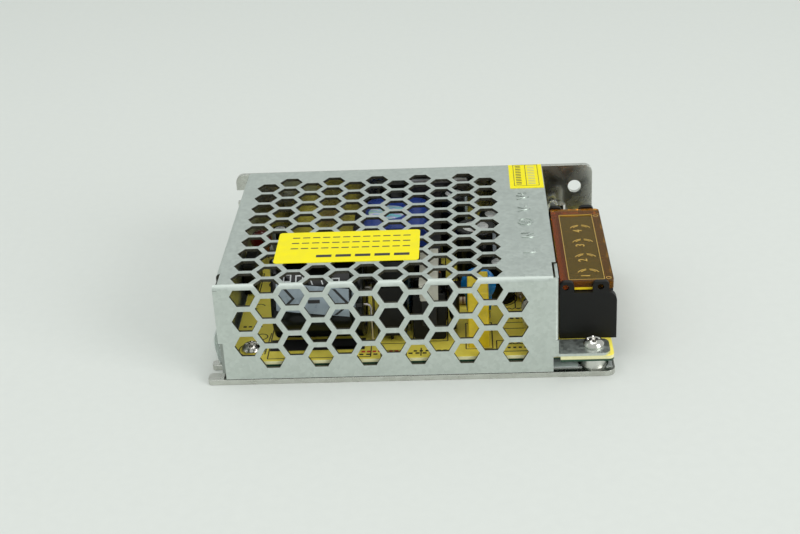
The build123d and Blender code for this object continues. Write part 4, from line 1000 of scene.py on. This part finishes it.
# %% Upright capacitors
def upright_can(x, y, foot, radius, height):
    """(sleeve profile, top profile) of a can: groove near the foot, sleeve lipped at the top."""
    t = np.linspace(-1, 1, 9)
    inner, rim = radius * 0.64, foot + height
    groove_radius = radius - 0.03 * radius * (1 + np.cos(np.pi * t))
    groove = np.stack([groove_radius, foot + height * 0.14 + 0.6 * t], 1)
    lip = [(radius, rim - 0.7), (radius - 0.15, rim - 0.25), (radius - 0.5, rim)]
    lip += [(inner + 0.1, rim), (inner, rim - 0.12)]
    sleeve = np.concatenate([[(0, foot), (radius - 0.3, foot), (radius, foot + 0.3)], groove, lip])
    top = [(inner + 0.1, rim - 0.3), (inner, rim - 0.1), (inner - 0.3, rim - 0.03), (0, rim - 0.07)]
    return turned(sleeve, (x, y, 0), 2, 48), turned(top, (x, y, 0), 2, 48)


can_top = plain_finish("can_top", (0.86, 0.86, 0.84), 0.3, metallic=0.7)
STRIPE_FROM = {"output": -35, "bias": 200}
for group, cans in CANS.items():
    shells = [upright_can(x, y, board_top, radius, height) for radius, height, x, y in cans]
    sleeves = grid_piece(group + "_can_sleeves", [sleeve for sleeve, _ in shells])
    place(sleeves, "can_sleeve", stands_for=(group + "_capacitors",))
    tops = grid_piece(group + "_can_tops", [top for _, top in shells])
    place(tops, "base_aluminium", can_top)
    stripes, scores = [], []
    for radius, height, x, y in cans:
        reach, rim = radius * 0.5, board_top + height
        rows = [(radius + 0.03, board_top + height * 0.24), (radius + 0.03, rim - 0.7)]
        stripes.append(turned(rows, (x, y, 0), 2, 12, STRIPE_FROM[group], 45))
        cross = [(x - reach, y, x + reach, y), (x, y - reach, x, y + reach)]
        scores.append(strokes("score", cross, 0.28, rim - 0.07, rim - 0.015))
    band = grid_piece(group + "_can_stripes", stripes, closed=False)
    place(band, "can_sleeve", grey_sleeve)
    place(joined(group + "_can_scores", scores), "base_aluminium", grey_ink)
    print(group, "cans", len(cans))

# %% [markdown]
# Wound parts. Wire wound on a bobbin is a helix: the angle grows steadily while the wire moves
# one diameter along per turn. On a square bobbin the turn is a rounded square, which is a
# circle whose cosine and sine are raised to a small power. One tube follows the whole path.

# %% A helix and the wire's two finishes
def coil_path(turns, half, squareness, along, centre, axis, steps=28):
    """A helix: half x p(cos a), half y p(sin a), moving along the axis from start to end, where
    p is the signed power with the squareness as its exponent."""
    angle = np.linspace(0, 2 * np.pi * turns, int(turns * steps) + 1)
    x = half[0] * signed_power(np.cos(angle), squareness)
    y = half[1] * signed_power(np.sin(angle), squareness)
    z = np.linspace(along[0], along[1], len(angle))
    return np.roll(np.stack([x, y, z], -1), axis + 1, axis=-1) + np.array(centre, float)


copper = plain_finish("enamelled_copper_dark", (0.34, 0.12, 0.04), 0.2, metallic=1.0)


def make_varnished():
    """Copper wire painted nearly black as painted shade inside the bobbin, its copper showing only in
    scattered spots.
    """
    finish = start_finish("varnished_wire", (0.02, 0.018, 0.015), 0.2, metallic=0.6)
    spots = level(finish, noise(finish, 0.9), 0, 1, (0.66, 0.72))
    tone = blend(finish, spots, (0.012, 0.011, 0.009), (0.6, 0.22, 0.07))
    return dress(finish, tone, None, noise(finish, 3.0), 0.01)


shade_painted = make_varnished()
print("wire finishes:", copper.name, shade_painted.name)

# %% [markdown]
# The filter choke has two coils side by side on a square bobbin. A boxy layer under each one
# closes the gaps between its turns. The end of a light tape hangs over the choke's front.

# %% Filter choke
winding_low, winding_high = corners("choke_windings")
winding_mid = (winding_low + winding_high) / 2
half_x = (winding_high[0] - winding_low[0]) / 2 - 0.35
half_z = (winding_high[2] - winding_low[2]) / 2 - 0.35
span_y = winding_high[1] - winding_low[1]
coil_grids = []
for start in (winding_low[1] + 0.4, winding_mid[1] + 0.9):
    run = (start, start + span_y / 2 - 1.3)
    path = coil_path(11, (half_z, half_x), 0.55, run, winding_mid * (1, 0, 1), 1)
    coil_grids.append(wire(path, 0.36, (0, 1, 0), 8))
choke_coils = grid_piece("choke_copper_turns", coil_grids)
place(choke_coils, "copper_wire", shade_painted)
layer_half = (half_z - 0.2, half_x - 0.2, span_y / 4 - 0.5)
layers = []
for y in (winding_mid[1] - span_y / 4 - 0.1, winding_mid[1] + span_y / 4 + 0.1):
    layer_mid = (winding_mid[0], y, winding_mid[2])
    layers.append(rounded_form(layer_mid, layer_half, 1, (0.12, 0.55)))
inner_layers = grid_piece("choke_inner_layers", layers)
place(inner_layers, "copper_wire", shade_painted, stands_for=("choke_windings",))
tape_top = corners("choke_tape")[1][2]
choke_front = min(corners("choke_core")[0][1], corners("choke_bobbin")[0][1])
tape_foot = 19.2 + (choke_front + 29.5) * -0.42
tape_middle = (5.65, choke_front - 0.05, (tape_top + tape_foot) / 2)
tape_half = (2.45, 0.16, (tape_top - tape_foot) / 2)
tape_end = grid_piece("choke_tape_end", [rounded_form(tape_middle, tape_half, 2, (0.12, 0.12))])
place(tape_end, "pale_tape")
print("choke front at Y", round(choke_front, 2), "tape foot", round(tape_foot, 2))

# %% [markdown]
# The output choke is wound on a ferrite drum: two flanges and a neck, turned as one profile.
# Two layers of thicker copper wire lie between the flanges.

# %% Output choke
drum_low, drum_high = corners("output_choke_core")
drum_mid, drum_radius = (drum_low + drum_high) / 2, (drum_high[0] - drum_low[0]) / 2
drum_flange, drum_neck = 1.2, 3.0


def drum_profile():
    """Two round flanges joined by a neck, their rims rounded by a quarter of a millimetre."""
    foot, top, r = drum_low[2], drum_high[2], 0.25
    flange = foot + drum_flange
    lower = [(0, foot), (drum_radius - r, foot), (drum_radius, foot + r)]
    lower += [(drum_radius, flange - r), (drum_radius - r, flange), (drum_neck, flange)]
    upper = [(radius, foot + top - height) for radius, height in reversed(lower)]
    return lower + upper


drum = grid_piece("output_choke_drum", [turned(drum_profile(), (*drum_mid[:2], 0), 2, 64)])
place(drum, "ferrite", stands_for=("output_choke_core",))
layer_top, layer_foot = drum_high[2] - drum_flange - 0.5, drum_low[2] + drum_flange + 0.5
drum_paths = [
    coil_path(6.5, (radius, radius), 1.0, (layer_foot, layer_top), (*drum_mid[:2], 0), 2, 36)
    for radius in (4.0, 4.9)
]
drum_grids = [wire(path, 0.45, (0, 0, 1), 8) for path in drum_paths]
drum_wire = grid_piece("output_choke_turns", drum_grids)
place(drum_wire, "copper_wire", copper, stands_for=("output_choke_winding",))
print("faces of the choke's turns", len(choke_coils.data.polygons))
print("faces of the drum's turns", len(drum_wire.data.polygons))

# %% [markdown]
# The transformer is wrapped in blue tape, which rounds the winding's corners and leaves a
# faint step at each lap. The wrap is a boxy superellipsoid; the laps are a ripple along its
# length.

# %% Transformer wrap
wrap_low, wrap_high = corners("transformer_winding")
wrap_mid, wrap_half = (wrap_low + wrap_high) / 2, (wrap_high - wrap_low) / 2


def tape_wrap():
    """A rounded box run along Y: across = half x p(cos a), half z p(sin a), less a lap ripple,
    where p is the signed power."""
    angle = np.radians(np.linspace(0, 360, 96, endpoint=False))[None]
    y = np.linspace(-1, 1, 41)[:, None]
    laps = 1 - 0.006 * (np.floor((y + 1) * 3.5) % 2)
    ends = np.where(np.abs(y) > 0.99, 0.985, 1.0) * laps
    x = wrap_half[0] * signed_power(np.cos(angle), 0.32) * ends
    z = wrap_half[2] * signed_power(np.sin(angle), 0.32) * ends
    grid = np.stack([x, wrap_half[1] * y + 0 * x, z], -1)
    caps = grid[[0, -1]] * (0, 1, 0)
    return np.concatenate([caps[:1], grid, caps[1:]]) + wrap_mid


wrap = grid_piece("transformer_tape_wrap", [tape_wrap()])
place(wrap, "blue_tape", stands_for=("transformer_winding",))
print("wrap faces", len(wrap.data.polygons))

# %% [markdown]
# On top of the wrap sits a small oval sticker of foil, whose colour shifts across its surface.
# It is a thin turned disc, stretched to an oval; rings of a wave pattern pick the colour.

# %% Foil sticker
def make_foil():
    """Iridescent foil: colour runs through the rainbow with waves worked out from the place."""
    finish = start_finish("iridescent_foil", (0.5, 0.6, 0.7), 0.3, metallic=0.3)
    ripple = {"Vector": millimetres(finish), "Scale": 0.12, "Distortion": 6.0, "Detail": 3.0}
    waves = add_node(finish, "ShaderNodeTexWave", ripple, wave_type="RINGS")
    ramp = add_node(finish, "ShaderNodeValToRGB", {"Fac": waves.outputs["Fac"]})
    band = ramp.color_ramp
    band.elements[0].color = (0.2, 0.75, 0.8, 1)
    band.elements[1].color = (0.5, 0.6, 0.9, 1)
    middle_colours = [(0.6, 0.5, 0.85), (0.85, 0.9, 0.95), (0.4, 0.8, 0.5)]
    for step, colour in enumerate(middle_colours, 1):
        band.elements.new(step / 4).color = (*colour, 1)
    return dress(finish, ramp.outputs["Color"], None, noise(finish, 2), 0.02)


sticker_grid = turned([(0, 0.06), (0.94, 0.06), (1.0, 0.0), (0, 0.0)], (0, 0, 0), 2, 48)
sticker_place = (wrap_mid[0] - 2.4, wrap_mid[1] + 0.4, wrap_high[2] + 0.01)
sticker_grid = sticker_grid * (5.7, 4.9, 1) + sticker_place
sticker = grid_piece("transformer_foil_sticker", [sticker_grid])
place(sticker, "blue_tape", make_foil())
print("sticker faces", len(sticker.data.polygons))

# %% [markdown]
# The transformer's pins leave both ends of its bobbin and turn down through the board. Each is
# a short wire; the solder further down uses their places again.

# %% Transformer pins
pin_x = wrap_mid[0] + np.linspace(-7.5, 7.5, 5)
bobbin_low, bobbin_high = corners("transformer_bobbin")
pin_grids = []
for y, side_sign in ((bobbin_low[1] - 0.1, -1), (bobbin_high[1] + 0.1, 1)):
    for x in pin_x:
        path = [(x, y - side_sign * 0.8, board_top + 2.0), (x, y + side_sign * 0.5, board_top + 2.1)]
        path += [(x, y + side_sign * 0.7, board_top + 1.4), (x, y + side_sign * 0.7, board_top - 2.6)]
        pin_grids.append(wire(path, 0.32, (1, 0, 0), 8))
pins = grid_piece("transformer_pins", pin_grids)
place(pins, "tinned_metal")
print("pins", len(pin_grids))

# %% [markdown]
# Dipped parts are discs that were dunked in lacquer: lens-shaped, a little thicker in the
# middle, with a drip of coating down each lead. A flattened superellipsoid makes the body and
# two short wires make the leads.

# %% Dipped discs
def dipped(node, axis, lead_gap, lead_height):
    """A lens from the node's box, facing along the axis, on two leads with a drip on each."""
    low, high = corners(node)
    mid, half = (low + high) / 2, (high - low) / 2
    radius = max(half[0], half[1])
    body_mid = np.array([mid[0], mid[1], high[2] - radius])
    size = (radius, radius, min(half[0], half[1]) * 1.08)
    body = rounded_form(body_mid, np.roll(size, axis + 1), axis, (0.62, 1.0), (20, 40))
    offset = np.array([0, lead_gap / 2, 0]) if axis == 0 else np.array([lead_gap / 2, 0, 0])
    top = board_top + lead_height + radius * 0.35
    drip = [(0, top), (0.75, top), (0.6, board_top + lead_height * 0.8)]
    drip += [(0.4, board_top + lead_height * 0.45), (0, board_top + lead_height * 0.42)]
    drips, wires = [], []
    for sign in (-1, 1):
        foot = body_mid * (1, 1, 0) + sign * offset
        drips.append(turned(drip, foot, 2, 12))
        wires.append(wire([foot + (0, 0, board_top - 2.4), foot + (0, 0, top)], 0.3, (1, 0, 0), 8))
    piece = joined(node + "_dip", [grid_piece("body", [body]), grid_piece("drips", drips)])
    place(piece, slot_of[node], stands_for=(node,))
    place(grid_piece(node + "_leads", wires), "tinned_metal")
    print(node, "faces", len(piece.data.polygons))


dipped("thermistor", 0, 5, 3.5)
dipped("varistor", 0, 5, 5)
dipped("safety_disc_capacitor", 1, 6, 5.8)
dipped("snubber_capacitor", 1, 3.5, 4.5)

# %% [markdown]
# Axial parts lie on their side. A resistor is a dumbbell with painted bands, a diode a plain
# barrel with one silver band. Body and bands are turned from profiles; the bands are the same
# profile lifted by two hundredths.

# %% A row of axial parts
def axial_profile(radius, length, waist):
    """(radius, place): rounded ends, and a waist between them where the value is above 0."""
    t = np.linspace(-1, 1, 41)
    end = np.clip((1 - np.abs(t)) / 0.12, 0, 1)
    shape = radius * np.sqrt(1 - (1 - end) ** 2)
    return np.stack([shape * (1 - waist * np.exp(-((t / 0.55) ** 6))), t * length / 2], 1)


def axial_parts(name, node, places, size, bands):
    """Bodies, wires and bands of equal parts. The size is radius, length, reach from wire to
    wire and waist; a band starts and ends at shares of the length, counted from the middle."""
    radius, length, reach, waist = size
    half, height = reach / 2, radius + 0.2
    rows = axial_profile(radius, length, waist)
    bodies, wires, band_grids = [], [], {}
    for (x, y), along_y in places:
        axis = 1 if along_y else 0
        centre = (x, y, board_top + height)
        bodies.append(turned(rows, centre, axis, 24))
        path = [(-half, -2.4), (-half, height - 0.5)]
        path += [(-half + 0.15, height - 0.15), (-half + 0.5, height)]
        path = np.array(path)
        path = np.concatenate([path, path[::-1] * (-1, 1)])
        flat = np.stack([path[:, 0], 0 * path[:, 0], path[:, 1]], 1)
        flat = flat[:, [1, 0, 2]] if along_y else flat
        wires.append(wire(flat + (x, y, board_top), 0.28, (1, 0, 0) if along_y else (0, 1, 0), 8))
        for start, end, ink in bands:
            part = rows[(rows[:, 1] >= start * length) & (rows[:, 1] <= end * length)] + (0.02, 0)
            band_grids.setdefault(ink, []).append(turned(part, centre, axis, 24))
    place(grid_piece(name + "_bodies", bodies), slot_of[node], stands_for=(node,))
    place(grid_piece(name + "_wires", wires), "tinned_metal")
    for ink, grids in band_grids.items():
        slot, finish = inks[ink]
        place(grid_piece(f"{name}_{ink}_bands", grids), slot, finish)
    print(name, len(places))


# %% [markdown]
# The same function makes all three kinds, so each is a list of places, a size and its bands.

# %% Places and bands of the axial parts
inks = {
    "silver": ("tinned_metal", finishes["tinned_metal"]),
    "red": ("red_coating", red_ink),
    "brown": ("red_coating", plain_finish("brown_ink", (0.14, 0.05, 0.02), 0.4)),
    "gold": ("copper_wire", plain_finish("gold_ink", (0.6, 0.42, 0.12), 0.3, metallic=0.8)),
}
resistor_places = [((-28, 20), False), ((-28, 26), False), ((-20, -4), True), ((31, -2.5), True)]
resistor_places += [((14, -8), False)]
bands = [(-0.38, -0.27, "brown"), (-0.16, -0.06, "red"), (0.04, 0.14, "brown"), (0.27, 0.38, "gold")]
axial_parts("resistor", "resistors", resistor_places, (1.2, 6.4, 10, 0.14), bands)
diode_places = [((-28, -2), False), ((27, 31), False), ((34.6, -6), True)]
axial_parts("diode", "diodes", diode_places, (1.4, 5, 9, 0), [(0.22, 0.36, "silver")])
fuse_caps = [(-0.5, -0.34, "silver"), (0.34, 0.5, "silver")]
axial_parts("fuse", "line_fuse", [((33.5, -20), True)], (2.6, 12, 20, 0), fuse_caps)

# %% [markdown]
# The flip cover carries moulded numbers, one for each terminal, with a split arch behind each.
# They stand up from the panel by a tenth of a millimetre and are painted brighter than the panel,
# a painted glow that stands for light through thicker tinted plastic.

# %% Numbers moulded in the flip cover
panel_top = corners("terminal_cover")[1][2] - 0.25
# Painted light: the numbers, arches and frame lines are brighter amber, a painted glow.
amber_painted_glow = start_finish("amber_painted_glow", (0.75, 0.48, 0.08), 0.2, Transmission_Weight=0.35)
dress(amber_painted_glow, None, None, noise(amber_painted_glow, 2.0), 0.01)
number_pieces, arcs = [], []
for count, y in enumerate(POLES[:4], 1):
    number_mid = (48.1, y - 0.9, panel_top + 0.03)
    number_pieces.append(text_mesh("number", str(count), 3.6, number_mid, 0.1, 0.02))
    for start in (22, 98):
        arcs += ring_rows(48.9, y + 0.14, 3.0, start, 60, 8)
        arcs += ring_rows(48.9, y + 0.4, 2.2, start + 8, 46, 6)
arc_piece = strokes("arcs", arcs, 0.3, panel_top - 0.02, panel_top + 0.07)
numbers = joined("flip_cover_numbers", number_pieces + [arc_piece])
place(numbers, "amber_plastic", amber_painted_glow, "terminal_lid")
rim_rows = frame_rows(43.35, -26.6, 52.85, 15.2)
rim_rows += ring_rows(54.0, 14.2, 0.65, count=12) + ring_rows(54.0, -25.9, 0.65, count=12)
rim_lines = strokes("flip_cover_frame_lines", rim_rows, 0.2, panel_top - 0.02, panel_top + 0.26)
place(rim_lines, "amber_plastic", amber_painted_glow, "terminal_lid")
# Painted light: a bright strip along the lid's front edge stands for light through the lid.
lit_amber = start_finish("lit_amber", (1.0, 0.72, 0.02), 0.15, Transmission_Weight=0.1)
dress(lit_amber, None, None, noise(lit_amber, 2.0), 0.01)
lid_front = corners("terminal_block")[0][1] + 1.55
lit_row = [(44.7, lid_front, 49.7, lid_front)]
lit_edge = strokes("flip_cover_lit_edge", lit_row, 0.26, 20.5, 21.1)
place(lit_edge, "amber_plastic", lit_amber, "terminal_lid")
print("numbers", len(numbers.data.polygons), "faces, lid front near Y", round(lid_front, 2))

# %% [markdown]
# Solder. Each lead comes through the board and is held by a shiny cone of solder on the green
# side. The cone is a turned profile that sweeps up to the wire; one grid is made for each lead.

# %% Solder joints under the board
def solder_cone(x, y, foot):
    """A cone that hollows towards the wire: radius times (1 - t) squared, down by height t."""
    radius, height = 1.1, 1.2
    t = np.linspace(0, 1, 7)
    profile = np.stack([radius * (1 - t) ** 2 + 0.28 * t, foot - height * t], 1)
    profile = np.concatenate([[(0, foot)], profile, [(0, foot - height)]])
    return turned(profile, (x, y, 0), 2, 14)


joints = [(lead_x, y) for y in lead_rows]
joints += [(x, y) for x in pin_x for y in (bobbin_low[1] - 0.8, bobbin_high[1] + 0.8)]
joints += [(x, y) for y in POLES for x in (45, 50)]
joints += [(-5, y) for y in (-27, -22, -17, -12)]
joints += [(12.2, -25), (12.2, -20), (-0.4, -22.5), (-0.4, -17.5)]
joints += [(16, -16.2), (22, -16.2), (33.5, -30), (33.5, -10), (-48.35, 22.5), (-44.85, 22.5)]
joints += [(x + dx, y) for _, x, y in can_places for dx in (-1.2, 1.2)]
joints += [(x, y) for x in (8.7, 15.7) for y in (-3.7, -1.1)] + [(-47.7, 3.5), (-47.7, 13.5)]
joints += [(x + step, 35) for x in (-5.3, 8) for step in (-2.54, 0, 2.54)]
for (x, y), along_y in resistor_places:
    joints += [(x, y - 5), (x, y + 5)] if along_y else [(x - 5, y), (x + 5, y)]
solder = grid_piece("solder_joints", [solder_cone(x, y, board_low[2]) for x, y in joints])
place(solder, "tinned_metal")
print("solder joints", len(joints))

# %% [markdown]
# Floor and light. The floor is one pale sheet that keeps the object's soft shadow. A wide
# lamp overhead, a stronger one farther away at the front right and an even pale world light
# the object about as brightly as its colours are written.

# %% Floor, world and lamps
floor_x, floor_y = np.meshgrid(np.linspace(-2500, 2500, 9), np.linspace(-2500, 2500, 9))
floor_grid = np.stack([floor_x, floor_y, np.full_like(floor_x, -0.05)], -1)
floor = grid_piece("floor", [floor_grid], closed=False)
floor_finish = plain_finish(
    "pale_floor", (0.67, 0.69, 0.66), 0.8, grain=0.02, drift=0.01, Specular_IOR_Level=0.1
)
floor.data.materials.append(floor_finish)

world = bpy.data.worlds.new("pale_world")
world.use_nodes = True
world.node_tree.nodes["Background"].inputs["Color"].default_value = (0.9, 0.95, 0.93, 1)
world.node_tree.nodes["Background"].inputs["Strength"].default_value = 0.66
bpy.context.scene.world = world


def soft_lamp(name, place_m, size, power):
    """A square lamp at a place in metres, facing the origin."""
    lamp = bpy.data.lights.new(name, "AREA")
    lamp.shape, lamp.size, lamp.energy = "SQUARE", size, power
    holder = new_object(name, lamp)
    holder.location = place_m
    holder.rotation_euler = (-Vector(place_m)).to_track_quat("-Z", "Y").to_euler()


soft_lamp("top_lamp", (-0.1, -0.05, 0.95), 0.8, 3.8)
soft_lamp("front_lamp", (1.15, -0.85, 0.55), 0.8, 11.5)
bpy.context.scene.view_settings.view_transform = "Standard"
print("stage and lamps ready")
